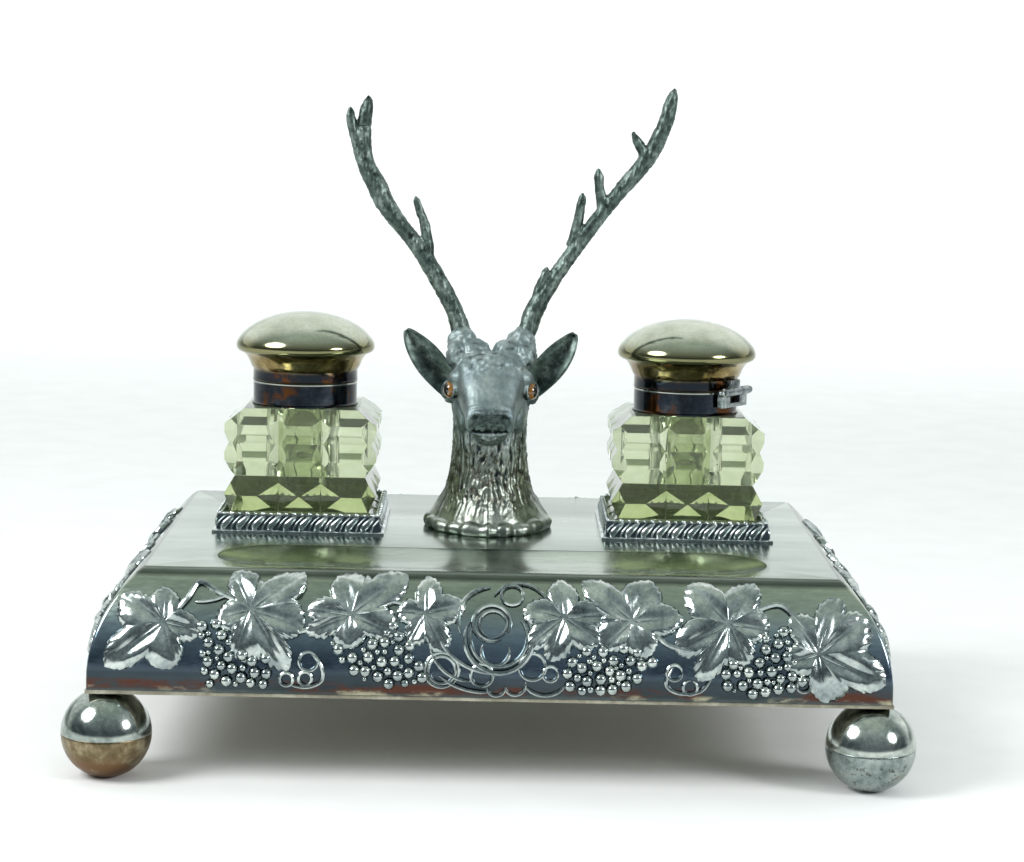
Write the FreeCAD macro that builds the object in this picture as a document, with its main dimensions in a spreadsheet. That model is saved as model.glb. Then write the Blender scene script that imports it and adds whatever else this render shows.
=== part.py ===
"""Stag's-head desk inkstand: platform with vine borders, two lidded cut-glass ink bottles, ball feet.

Millimetres. X runs along the stand, Y to its back, Z up. The origin lies on the ground under the
middle of the stand. Every driving size is a cell of the sheet called dims.
"""
import FreeCAD, Part
import math
import os
import Sketcher

Vector = FreeCAD.Vector
doc = FreeCAD.newDocument("inkwell")
dims = doc.addObject("Spreadsheet::Sheet", "dims")

SIZES = [
    # Ball feet: two spun halves each, with a short stud up through the base plate.
    ("foot_radius", 15.1), ("foot_flat_depth", 0.3), ("foot_top_depth", 0.5), ("foot_wall", 1.4),
    ("foot_inset_x", 5.9), ("foot_inset_y", 7.1), ("boss_radius", 4.5), ("boss_top", 9),
    ("foot_hole_bottom", 2.5), ("stud_radius", 2), ("stud_fit", 0.05), ("stud_clearance", 0.15),
    ("stud_above_plate", 5.5), ("washer_radius", 4), ("washer_thick", 0.8), ("nut_across", 6.4),
    ("nut_height", 2.4),
    # Platform: a flat top with bowed skirts that meet in mitres, closed below by a flat plate.
    ("plate_half_x", 116.5), ("plate_half_y", 81.4), ("sheet_wall", 1.6),
    ("skirt_overhang", 16.8), ("skirt_radius", 45), ("skirt_straight", 3.732),
    ("base_thick", 1.2), ("base_lip", 0.3), ("relief_depth", 1.5), ("rail_height", 2.2),
    # Pen tray: a shallow trough with round ends, in front of the bottles.
    ("tray_inset", 22.5), ("tray_half_y", 20), ("tray_edge", 4.4), ("tray_depth", 3),
    # Glass bottles; heights are above the platform's top.
    ("bottle_half", 27.4), ("bottle_top", 43.9), ("shoulder_inset", 6.9), ("bottle_corner", 5),
    ("row1_top", 38.6), ("row1_bottom", 35.2), ("groove1_z", 31.9), ("groove1_depth", 1.8),
    ("row2_top", 28.2), ("row2_bottom", 25.5), ("groove2_z", 19.8), ("groove2_depth", 3.9),
    ("row3_top", 12.9), ("notch_z", 7.2), ("notch_depth", 2.4), ("plinth_top", 5.6),
    ("facet_pitch", 15.3), ("facet_width", 5.7), ("facet_depth", 2.6),
    ("well_radius", 13.5), ("well_floor", 19), ("neck_radius", 16.9), ("neck_height", 7.2),
    # Galleries: square trays with lobed sides that hold the bottles.
    ("gallery_inset", 46.5), ("gallery_y", 16.2), ("bottle_fit", 0.25),
    ("gallery_wall_low", 2.75), ("gallery_wall_high", 1.45), ("gallery_height", 7),
    ("gallery_floor", 1.4), ("gallery_foot_height", 1.2), ("gallery_foot_reach", 3.2),
    ("lobe_pitch", 5.8), ("lobe_radius", 1.9), ("lobe_depth", 0.5),
    # Collar, cemented on the neck, and lid.
    ("cement_thick", 0.9), ("collar_wall", 1.2), ("collar_height", 8.6), ("collar_lip", 1),
    ("mouth_step", 0.3), ("seat_gap", 0.3),
    ("band_step", 0.1), ("band_height", 4.7), ("rim_reach", 6.25), ("flare_height", 8.5),
    ("rim_thick", 0.7), ("flare_radius", 11), ("dome_rise", 10.9), ("lid_wall", 1.1),
    ("liner_fit", 0.1), ("liner_thick", 1),
    # Lid hinge.
    ("barrel_radius", 1.6), ("barrel_gap", 0.35), ("pin_radius", 0.7), ("pin_fit", 0.05),
    ("knuckle_side", 5), ("knuckle_mid", 6.4), ("knuckle_gap", 0.3), ("pin_ball", 1.35),
    ("leaf_drop", 4), ("leaf_sink", 0.6),
    # Stag's head; rises are above the platform's top.
    ("neck_half_x", 23.4), ("neck_half_y", 31), ("neck_y", 17.5), ("head_x", -1.8),
    ("skull_half_x", 14.6), ("skull_rise", 52.6), ("skull_y", 5), ("nose_half_x", 7.8),
    ("nose_y", -18.5), ("nose_rise", 42.6), ("eye_radius", 3.3), ("eye_rise", 51.9),
    ("eye_y", -2), ("eye_out", 13.9), ("eye_gap", 0.05), ("pedicle_out", 12.4),
    ("pedicle_radius", 3.6), ("pedicle_rise", 71.6), ("pedicle_y", 12),
    ("ear_out", 23.8), ("ear_rise", 60.3), ("ear_y", 9),
    ("ear_half", 13.5), ("ear_half_wide", 4.6), ("ear_half_thick", 2.2),
]
DERIVED = [
    ("foot_centre", "foot_radius - foot_flat_depth"),
    ("foot_inner", "foot_radius - foot_wall"),
    ("foot_flat", "sqrt(foot_radius^2 - foot_centre^2)"),
    ("base_bottom", "foot_centre + foot_radius - foot_top_depth"),
    ("foot_top_flat", "sqrt(foot_radius^2 - (base_bottom - foot_centre)^2)"),
    ("boss_root", "foot_centre - sqrt(foot_inner^2 - boss_radius^2)"),
    ("stud_hole", "stud_radius + stud_clearance"),
    ("stud_seat", "stud_radius + stud_fit"),
    ("crown_root", "foot_centre + sqrt(foot_inner^2 - stud_hole^2)"),
    ("foot_x", "plate_half_x + skirt_overhang - foot_inset_x"),
    ("foot_y", "plate_half_y + skirt_overhang - foot_inset_y"),
    ("skirt_bottom", "base_bottom + base_thick"),
    ("bow_centre", "skirt_bottom + skirt_straight"),
    ("plate_top", "bow_centre + sqrt(skirt_radius^2 - (skirt_radius - skirt_overhang)^2)"),
    ("inner_radius", "skirt_radius - sheet_wall"),
    ("inner_rise", "plate_top - sheet_wall - bow_centre"),
    ("inner_reach", "sqrt(inner_radius^2 - inner_rise^2) - skirt_radius + skirt_overhang"),
    ("relief_radius", "skirt_radius + relief_depth"),
    ("relief_rise", "plate_top - bow_centre"),
    ("relief_reach", "sqrt(relief_radius^2 - relief_rise^2) - skirt_radius + skirt_overhang"),
    ("tray_y", "tray_half_y + tray_edge - plate_half_y"),
    ("tray_radius", "(tray_half_y^2 + tray_depth^2) / (2 * tray_depth)"),
    ("tray_axis_z", "plate_top - tray_depth + tray_radius"),
    ("tray_half_x", "plate_half_x - tray_inset"),
    ("tray_half_run", "tray_half_x - tray_half_y"),
    ("bottle_top_half", "bottle_half - shoulder_inset"),
    ("groove1_half", "bottle_half - groove1_depth"),
    ("groove2_half", "bottle_half - groove2_depth"),
    ("notch_half", "bottle_half - notch_depth"),
    ("gallery_x", "plate_half_x - gallery_inset"),
    ("gallery_inner", "bottle_half + bottle_fit"),
    ("gallery_bottom_half", "gallery_inner + gallery_wall_low"),
    ("gallery_top_half", "gallery_inner + gallery_wall_high"),
    ("gallery_foot_half", "gallery_inner + gallery_foot_reach"),
    ("collar_radius", "neck_radius + cement_thick + collar_wall"),
    ("collar_top", "bottle_top + collar_height"),
    ("mouth_radius", "well_radius + mouth_step"),
    ("lid_bottom", "collar_top + seat_gap"),
    ("band_radius", "collar_radius + band_step"),
    ("band_top", "lid_bottom + band_height"),
    ("rim_radius", "band_radius + rim_reach"),
    ("rim_z", "band_top + flare_height"),
    ("rim_top", "rim_z + rim_thick"),
    ("dome_top", "rim_top + dome_rise"),
    ("dome_radius", "(rim_radius^2 + dome_rise^2) / (2 * dome_rise)"),
    ("hollow_half", "rim_radius - 2.5 * lid_wall"),
    ("hollow_rise", "dome_rise - lid_wall"),
    ("hollow_radius", "(hollow_half^2 + hollow_rise^2) / (2 * hollow_rise)"),
    ("hinge_out", "band_radius + barrel_gap + barrel_radius"),
    ("hinge_z", "collar_top + seat_gap / 2"),
    ("barrel_half", "knuckle_mid / 2 + knuckle_gap + knuckle_side"),
    ("skull_z", "plate_top + skull_rise"),
    ("nose_z", "plate_top + nose_rise"),
    ("eye_z", "plate_top + eye_rise"),
    ("pedicle_top", "plate_top + pedicle_rise"),
    ("ear_z", "plate_top + ear_rise"),
]


def fill_sheet():
    """Write each size and each derived size into a named cell."""
    for row, (name, number) in enumerate(SIZES, start=1):
        dims.set(f"A{row}", name)
        dims.set(f"B{row}", str(number))
        dims.setAlias(f"B{row}", name)
    for row, (name, formula) in enumerate(DERIVED, start=len(SIZES) + 1):
        dims.set(f"A{row}", name)
        dims.set(f"B{row}", "=" + formula)
        dims.setAlias(f"B{row}", name)
    doc.recompute()


fill_sheet()
nodes = []


def value(formula):
    """The number a formula gives."""
    return float(doc.dims.evalExpression(str(formula)))


def bind(thing, **formulas):
    """Tie properties to formulas; x, y and z stand for the placement's base."""
    for prop, formula in formulas.items():
        path = f"Placement.Base.{prop}" if prop in ("x", "y", "z") else prop
        thing.setExpression(path, str(formula))
    return thing


def keep(thing, name):
    """Name a finished sub-part and note it for export."""
    thing.Label = name
    nodes.append(thing)
    return thing


def primitive(kind, name, **formulas):
    """A Part primitive with its sizes tied to the sheet."""
    return bind(doc.addObject("Part::" + kind, name), **formulas)


def turned(thing, axis, degrees):
    """Turn a primitive about its own base."""
    thing.Placement.Rotation = FreeCAD.Rotation(axis, degrees)
    return thing


def fuse(name, parts):
    joined = doc.addObject("Part::MultiFuse", name)
    joined.Shapes = parts
    return joined


def common(name, parts):
    shared = doc.addObject("Part::MultiCommon", name)
    shared.Shapes = parts
    return shared


def cut(name, base, tool):
    """The base less one tool or a list of tools."""
    if isinstance(tool, list):
        tool = fuse(name + "_tools", tool)
    result = doc.addObject("Part::Cut", name)
    result.Base = base
    result.Tool = tool
    return result


def outline(body, role, points, arcs=None):
    """A closed sketch through points given as formulas; arcs maps an edge to (radius, turn).

    turn is 1 for an arc that bends to the left on its way and -1 for one that bends to the right.
    """
    arcs = arcs or {}
    sketch = body.newObject("Sketcher::SketchObject", body.Name + "_outline")
    plane = [f for f in body.Origin.OriginFeatures if f.Role == role][0]
    sketch.AttachmentSupport = [(plane, "")]
    sketch.MapMode = "FlatFace"
    places = [Vector(value(x), value(y), 0) for x, y in points]
    count = len(points)
    starts = []
    for edge in range(count):
        first = places[edge]
        last = places[(edge + 1) % count]
        if edge not in arcs:
            sketch.addGeometry(Part.LineSegment(first, last), False)
            starts.append(1)
            continue
        radius = value(arcs[edge][0])
        turn = arcs[edge][1]
        chord = last - first
        side = Vector(-chord.y, chord.x, 0).normalize()
        rise = math.sqrt(max(radius ** 2 - (chord.Length / 2) ** 2, 0))
        centre = (first + last) * 0.5 + side * rise * turn
        ends = (first, last) if turn > 0 else (last, first)
        angles = [math.atan2(end.y - centre.y, end.x - centre.x) for end in ends]
        if angles[1] < angles[0]:
            angles[1] += 2 * math.pi
        circle = Part.Circle(centre, Vector(0, 0, 1), radius)
        sketch.addGeometry(Part.ArcOfCircle(circle, *angles), False)
        starts.append(1 if turn > 0 else 2)
    for edge in range(count):
        after = (edge + 1) % count
        sketch.addConstraint(Sketcher.Constraint("Coincident", edge, 3 - starts[edge],
                                                 after, starts[after]))
    for edge, formulas in enumerate(points):
        for kind, formula, number in zip(("DistanceX", "DistanceY"), formulas, places[edge]):
            index = sketch.addConstraint(
                Sketcher.Constraint(kind, -1, 1, edge, starts[edge], number))
            sketch.setExpression(f"Constraints[{index}]", str(formula))
    for edge, (radius, _) in arcs.items():
        index = sketch.addConstraint(Sketcher.Constraint("Radius", edge, value(radius)))
        sketch.setExpression(f"Constraints[{index}]", str(radius))
    return sketch


def extruded(name, role, points, length, arcs=None):
    """A body padded both ways from one of its planes."""
    body = doc.addObject("PartDesign::Body", name)
    pad = body.newObject("PartDesign::Pad", name + "_pad")
    pad.Profile = outline(body, role, points, arcs)
    pad.Midplane = True
    bind(pad, Length=length)
    return body


def spun(name, points, arcs=None):
    """A body of revolution about Z from a profile in X and Z."""
    body = doc.addObject("PartDesign::Body", name)
    turn = body.newObject("PartDesign::Revolution", name + "_turn")
    sketch = outline(body, "XZ_Plane", points, arcs)
    turn.Profile = sketch
    turn.ReferenceAxis = (sketch, ["V_Axis"])
    turn.Angle = 360
    return body


def bowed_block(name, bottom, top, reach_top, reach_bottom, radius):
    """The mitred block between two crossed prisms with bowed sides."""
    blocks = []
    for role, half, length in (("XZ_Plane", "plate_half_x", "plate_half_y"),
                               ("YZ_Plane", "plate_half_y", "plate_half_x")):
        low = f"dims.{half} + {reach_bottom}"
        high = f"dims.{half} + {reach_top}"
        points = [(f"-({low})", bottom), (low, bottom), (low, "dims.bow_centre"), (high, top),
                  (f"-({high})", top), (f"-({low})", "dims.bow_centre")]
        blocks.append(extruded(f"{name}_{half}", role, points, f"2 * dims.{length} + 60",
                               {2: (radius, 1), 4: (radius, 1)}))
    return common(name, blocks)


# Platform shell, pen tray and base plate.
outer = bowed_block("skirt_outer", "dims.skirt_bottom", "dims.plate_top", "0",
                    "dims.skirt_overhang", "dims.skirt_radius")
inner = bowed_block("skirt_inner", "dims.skirt_bottom - 1", "dims.plate_top - dims.sheet_wall",
                    "dims.inner_reach", "dims.skirt_overhang - dims.sheet_wall",
                    "dims.inner_radius")


def trough(name, extra):
    """A long capsule whose lower part is the pen tray, grown by extra all round."""
    radius = f"dims.tray_radius + {extra}"
    place = {"y": "dims.tray_y", "z": "dims.tray_axis_z"}
    run = primitive("Cylinder", name + "_run", Radius=radius, Height="2 * dims.tray_half_run",
                    x="-dims.tray_half_run", **place)
    turned(run, Vector(0, 1, 0), 90)
    ends = [primitive("Sphere", f"{name}_end{side}", Radius=radius,
                      x=f"{side} * dims.tray_half_run", **place) for side in (-1, 1)]
    return fuse(name, [run] + ends)


tray_slab = primitive("Box", "tray_slab", Length="2 * dims.tray_half_x + 20",
                      Width="2 * dims.tray_half_y + 2 * dims.sheet_wall",
                      Height="dims.tray_depth + 1",
                      x="-dims.tray_half_x - 10", y="dims.tray_y - dims.tray_half_y - dims.sheet_wall",
                      z="dims.plate_top - dims.tray_depth - dims.sheet_wall - 0.5")
tray_under = common("tray_under", [tray_slab, trough("tray_skin", "dims.sheet_wall")])
head_hole = primitive("Cylinder", "head_hole", Radius="dims.stud_hole", Height=20,
                      x="dims.head_x", y="dims.neck_y", z="dims.plate_top - 10")
shell = cut("shell", outer, inner)
tray_and_shell = fuse("tray_and_shell", [shell, tray_under])
keep(cut("platform_shell", tray_and_shell, [trough("tray_hollow", "0"), head_hole]),
     "platform_shell")

lip = "dims.skirt_overhang + dims.base_lip"
base_blank = primitive("Box", "base_blank", Length=f"2 * (dims.plate_half_x + {lip})",
                       Width=f"2 * (dims.plate_half_y + {lip})", Height="dims.base_thick",
                       x=f"-(dims.plate_half_x + {lip})", y=f"-(dims.plate_half_y + {lip})",
                       z="dims.base_bottom")
CORNERS = {"front_left": (-1, -1), "front_right": (1, -1), "rear_left": (-1, 1),
           "rear_right": (1, 1)}


def at_corners(name, kind, z, **sizes):
    """One round primitive at each foot."""
    return [primitive(kind, f"{name}_{corner}", x=f"{sx} * dims.foot_x", y=f"{sy} * dims.foot_y",
                      z=z, **sizes) for corner, (sx, sy) in CORNERS.items()]


keep(cut("base_plate", base_blank,
         at_corners("base_hole", "Cylinder", "dims.base_bottom - 1", Radius="dims.stud_hole",
                    Height="dims.base_thick + 2")), "base_plate")

# Ball feet and their fixings.
for corner, (sx, sy) in CORNERS.items():
    lower = spun(f"foot_{corner}_lower", [
        (0, 0), ("dims.foot_flat", 0), ("dims.foot_radius", "dims.foot_centre"),
        ("dims.foot_inner", "dims.foot_centre"), ("dims.boss_radius", "dims.boss_root"),
        ("dims.boss_radius", "dims.boss_top"), ("dims.stud_seat", "dims.boss_top"),
        ("dims.stud_seat", "dims.foot_hole_bottom"), (0, "dims.foot_hole_bottom")],
        {1: ("dims.foot_radius", 1), 3: ("dims.foot_inner", -1)})
    upper = spun(f"foot_{corner}_upper", [
        ("dims.foot_radius", "dims.foot_centre"), ("dims.foot_top_flat", "dims.base_bottom"),
        ("dims.stud_hole", "dims.base_bottom"), ("dims.stud_hole", "dims.crown_root"),
        ("dims.foot_inner", "dims.foot_centre")],
        {0: ("dims.foot_radius", 1), 3: ("dims.foot_inner", -1)})
    for half in (lower, upper):
        bind(half, x=f"{sx} * dims.foot_x", y=f"{sy} * dims.foot_y")
        keep(half, half.Name)
stud_top = "dims.skirt_bottom + dims.stud_above_plate"
keep(fuse("foot_studs", at_corners("foot_stud", "Cylinder", "dims.foot_hole_bottom",
                                   Radius="dims.stud_radius",
                                   Height=f"{stud_top} - dims.foot_hole_bottom")), "foot_studs")


def ring(name, prism, bore, height, **place):
    """A washer or nut: a round or six-sided prism with a bore."""
    hole = primitive("Cylinder", name + "_bore", Radius=bore, Height=f"{height} + 2",
                     x=place["x"], y=place["y"], z=place["z"] + " - 1")
    bind(prism, Height=height, **place)
    return cut(name, prism, hole)


def washer_and_nut(name, x, y, under, up):
    """A washer against a sheet and a nut on it; up is 1 above the sheet and -1 below."""
    stack = "dims.washer_thick" if up > 0 else "-dims.washer_thick - dims.nut_height"
    washer_low = under if up > 0 else f"{under} - dims.washer_thick"
    disc = primitive("Cylinder", name + "_disc", Radius="dims.washer_radius")
    hexagon = primitive("Prism", name + "_hexagon", Polygon=6,
                        Circumradius="dims.nut_across / sqrt(3)")
    washer = ring(name + "_washer", disc, "dims.stud_hole", "dims.washer_thick",
                  x=x, y=y, z=washer_low)
    nut = ring(name + "_nut", hexagon, "dims.stud_seat", "dims.nut_height",
               x=x, y=y, z=f"{under} + {stack}")
    return washer, nut


foot_sets = [washer_and_nut("foot_" + corner, f"{sx} * dims.foot_x", f"{sy} * dims.foot_y",
                            "dims.skirt_bottom", 1) for corner, (sx, sy) in CORNERS.items()]
keep(fuse("foot_washers", [washer for washer, _ in foot_sets]), "foot_washers")
keep(fuse("foot_nuts", [nut for _, nut in foot_sets]), "foot_nuts")


# Vine borders: leaves, stems and grapes cut from a layer that lies on the skirt.
relief = bowed_block("relief_block", "dims.skirt_bottom", "dims.plate_top", "dims.relief_reach",
                     "dims.skirt_overhang + dims.relief_depth", "dims.relief_radius")
relief_layer = cut("relief_layer", relief, outer)
LONG_LEAVES = [(-108, 23, 15, 20), (-79, 26, 15, 75), (-47, 27, 14, -10), (-21, 28, 12, 35),
               (22, 27, 13, 100), (50, 27, 14, 15), (79, 26, 15, 60), (109, 21, 15, -30)]
SHORT_LEAVES = [(-72, 24, 15, 20), (-45, 27, 14, 70), (-14, 27, 13, 0), (17, 27, 13, 40),
                (46, 27, 14, -20), (73, 24, 15, 60)]
LONG_GRAPES = [(-86, 9), (-33, 11), (33, 11), (88, 10)]
SHORT_GRAPES = [(-58, 11), (-29, 10), (31, 11), (59, 10)]


def skirt_height(along):
    """Height on the skirt at a distance up its curve from its bottom edge."""
    straight = dims.bow_centre - dims.skirt_bottom
    if along <= straight:
        return dims.skirt_bottom + along
    angle = (along - straight) / dims.skirt_radius
    return dims.bow_centre + dims.skirt_radius * math.sin(angle)


def leaf_points(across, along, size, turn):
    """A five-lobed leaf outline as distance along the border and height."""
    points = []
    for step in range(20):
        angle = math.radians(turn + 18 * step)
        reach = size * (1.0, 0.84, 0.6, 0.84)[step % 4]
        height = skirt_height(min(max(along + reach * math.sin(angle), 0.4), 41))
        points.append((across + reach * math.cos(angle), height))
    return points


def stem_points(half):
    """A wavy stem the length of the border, as a closed ribbon."""
    count = 48
    line = [(-half + 2 * half * i / count, 15 + 6 * math.sin(i * 0.9)) for i in range(count + 1)]
    upper = [(across, skirt_height(along + 1.1)) for across, along in line]
    lower = [(across, skirt_height(along - 1.1)) for across, along in reversed(line)]
    return upper + lower


def border(name, half, leaves, grapes, turn):
    """One side's border, modelled on the front and turned into place."""
    near = -(dims.plate_half_y if turn % 180 == 0 else dims.plate_half_x) - 24
    outlines = [leaf_points(*leaf) for leaf in leaves] + [stem_points(half)]
    rail = [(-half - 30, dims.skirt_bottom), (half + 30, dims.skirt_bottom)]
    top = dims.skirt_bottom + dims.rail_height
    outlines.append(rail + [(half + 30, top), (-half - 30, top)])
    blocks = []
    for points in outlines:
        wire = Part.makePolygon([Vector(x, near, z) for x, z in points + points[:1]])
        blocks.append(Part.Face(wire).extrude(Vector(0, 40, 0)))
    for across, along in grapes:
        height = skirt_height(along)
        for i, (dx, dz) in enumerate([(-5, 4), (0, 5), (5, 4), (-2.5, 0), (2.5, 0), (0, -4)]):
            block = Part.makeCylinder(2.6, 40, Vector(across + dx, near, height + dz),
                                      Vector(0, 1, 0))
            blocks.append(block)
    # A wedge in plan keeps each border on its own side of the mitres.
    corner = half + 24
    wedge_wire = Part.makePolygon([Vector(-corner, near, 0), Vector(corner, near, 0),
                                   Vector(corner - 60, near + 60, 0),
                                   Vector(-corner + 60, near + 60, 0), Vector(-corner, near, 0)])
    wedge = Part.Face(wedge_wire).extrude(Vector(0, 0, 100))
    tool = blocks[0].multiFuse(blocks[1:]).common(wedge)
    tool.rotate(Vector(0, 0, 0), Vector(0, 0, 1), turn)
    feature = doc.addObject("Part::Feature", name + "_tool")
    feature.Shape = tool
    return keep(common(name, [relief_layer, feature]), name)


for side, turn in (("front", 0), ("right", 90), ("rear", 180), ("left", 270)):
    long_side = turn % 180 == 0
    half_length = dims.plate_half_x if long_side else dims.plate_half_y
    border(f"vine_border_{side}", half_length, LONG_LEAVES if long_side else SHORT_LEAVES,
           LONG_GRAPES if long_side else SHORT_GRAPES, turn)


# Galleries.
def gallery(name, side):
    """A square tray: foot, floor, leaning walls, lobes and a rail, open for the bottle."""
    def square(part, half, height, z):
        return primitive("Box", f"{name}_{part}", Length=f"2 * {half}", Width=f"2 * {half}",
                         Height=height, x=f"-({half})", y=f"-({half})", z=z)
    foot = square("foot", "dims.gallery_foot_half", "dims.gallery_foot_height", "0")
    walls = primitive("Wedge", name + "_walls", Xmin="-dims.gallery_bottom_half",
                      Xmax="dims.gallery_bottom_half", Zmin="-dims.gallery_bottom_half",
                      Zmax="dims.gallery_bottom_half", X2min="-dims.gallery_top_half",
                      X2max="dims.gallery_top_half", Z2min="-dims.gallery_top_half",
                      Z2max="dims.gallery_top_half", Ymin="0", Ymax="dims.gallery_height")
    turned(walls, Vector(1, 0, 0), 90)
    lobes = []
    for turn in range(4):
        for index in range(10):
            angle = math.radians(90 * turn)
            lobe = primitive("Cylinder", f"{name}_lobe{turn}_{index}", Radius="dims.lobe_radius",
                             Height="dims.gallery_height - 0.8")
            along = f"({index - 4.5} * dims.lobe_pitch)"
            out = "(dims.gallery_top_half + dims.lobe_depth - dims.lobe_radius)"
            bind(lobe, x=f"{along} * {round(math.cos(angle))} + {out} * {round(math.sin(angle))}",
                 y=f"{along} * {round(math.sin(angle))} - {out} * {round(math.cos(angle))}")
            lobes.append(lobe)
    hollow = square("hollow", "dims.gallery_inner", "dims.gallery_height + 2",
                    "dims.gallery_floor")
    tray = cut(name, fuse(name + "_blank", [foot, walls] + lobes), hollow)
    bind(tray, x=f"{side} * dims.gallery_x", y="dims.gallery_y", z="dims.plate_top")
    return keep(tray, name)


# Bottles.
def bottle(name, side):
    """A square bottle with three rows of facets on each face and a round ink well."""
    steps = [("bottle_half", "gallery_floor"), ("bottle_half", "plinth_top"),
             ("notch_half", "notch_z"), ("bottle_half", "row3_top"),
             ("groove2_half", "groove2_z"), ("bottle_half", "row2_bottom"),
             ("bottle_half", "row2_top"), ("groove1_half", "groove1_z"),
             ("bottle_half", "row1_bottom"), ("bottle_half", "row1_top"),
             ("bottle_top_half", "bottle_top")]
    right = [(f"dims.{half}", f"dims.{z}") for half, z in steps]
    left = [(f"-dims.{half}", f"dims.{z}") for half, z in reversed(steps)]
    prisms = [extruded(f"{name}_{role[:2]}", role, right + left, "2 * dims.bottle_half + 2")
              for role in ("XZ_Plane", "YZ_Plane")]
    low = "dims.bottle_half - dims.bottle_corner"
    full = "dims.bottle_half + 1"
    near = f"{low} - 1"
    corners = extruded(f"{name}_corners", "XY_Plane", [
        (full, f"-({near})"), (full, near), (near, full), (f"-({near})", full),
        (f"-({full})", near), (f"-({full})", f"-({near})"), (f"-({near})", f"-({full})"),
        (near, f"-({full})")], "3 * dims.bottle_top")
    block = common(name + "_block", prisms + [corners])
    neck = primitive("Cylinder", name + "_neck", Radius="dims.neck_radius",
                     Height="dims.neck_height + 1", z="dims.bottle_top - 1")
    tools = [primitive("Cylinder", name + "_well", Radius="dims.well_radius", Height=60,
                       z="dims.well_floor")]
    # Narrow grooves run the full height; wide ones bring the lowest row to points.
    for kind, width, low, high in (("groove", "dims.facet_width", "0", "dims.bottle_top"),
                                   ("point", "dims.facet_pitch", "dims.notch_z - 0.6",
                                    "dims.groove2_z")):
        for turn in range(4):
            for column in (-0.5, 0.5):
                letter = "a" if column < 0 else "b"
                groove = extruded(f"{name}_{kind}{turn}{letter}", "XY_Plane", [
                    (f"{column} * dims.facet_pitch - {width} / 2", "-dims.bottle_half - 0.01"),
                    (f"{column} * dims.facet_pitch + {width} / 2", "-dims.bottle_half - 0.01"),
                    (f"{column} * dims.facet_pitch", "-dims.bottle_half + dims.facet_depth")],
                    f"{high} - ({low})")
                bind(groove, z=f"({high} + {low}) / 2")
                groove.Placement.Rotation = FreeCAD.Rotation(Vector(0, 0, 1), 90 * turn)
                tools.append(groove)
    glass = cut(name, fuse(name + "_blank", [block, neck]), tools)
    bind(glass, x=f"{side} * dims.gallery_x", y="dims.gallery_y", z="dims.plate_top")
    return keep(glass, name)


def set_on_bottle(thing, side, turn):
    """Move a lid or collar piece from the bottle's own axis to its place."""
    thing.Placement.Rotation = FreeCAD.Rotation(Vector(0, 0, 1), turn)
    return bind(thing, x=f"{side} * dims.gallery_x", y="dims.gallery_y", z="dims.plate_top")


# Collars, lids and hinges.
def collar_set(tag, side, turn):
    """The brass collar, its cement and its half of the hinge."""
    inner_wall = "dims.collar_radius - dims.collar_wall"
    neck_top = "dims.bottle_top + dims.neck_height"
    under = "dims.collar_top - dims.collar_lip"
    collar = spun("collar_" + tag, [
        (inner_wall, "dims.bottle_top"), ("dims.collar_radius", "dims.bottle_top"),
        ("dims.collar_radius", "dims.collar_top"), ("dims.mouth_radius", "dims.collar_top"),
        ("dims.mouth_radius", under), (inner_wall, under)])
    cement = spun("collar_cement_" + tag, [
        ("dims.neck_radius", "dims.bottle_top"), (inner_wall, "dims.bottle_top"),
        (inner_wall, neck_top), ("dims.neck_radius", neck_top)])
    for piece in (collar, cement):
        keep(set_on_bottle(piece, side, turn), piece.Name)
    return collar


def knuckle(name, radius, start, length):
    """A round bar on the hinge line; start is measured along the line from its middle."""
    bar = primitive("Cylinder", name, Radius=radius, Height=length, x="dims.hinge_out",
                    y=start, z="dims.hinge_z")
    return turned(bar, Vector(1, 0, 0), -90)


def leaf_block(name, start, length, low, high):
    """A flat leaf from the barrel in to the collar or lid band."""
    inner_edge = "dims.band_radius - dims.leaf_sink"
    return primitive("Box", name, Length=f"dims.hinge_out - ({inner_edge})", Width=length,
                     Height=f"{high} - ({low})", x=inner_edge, y=start, z=low)


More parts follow.
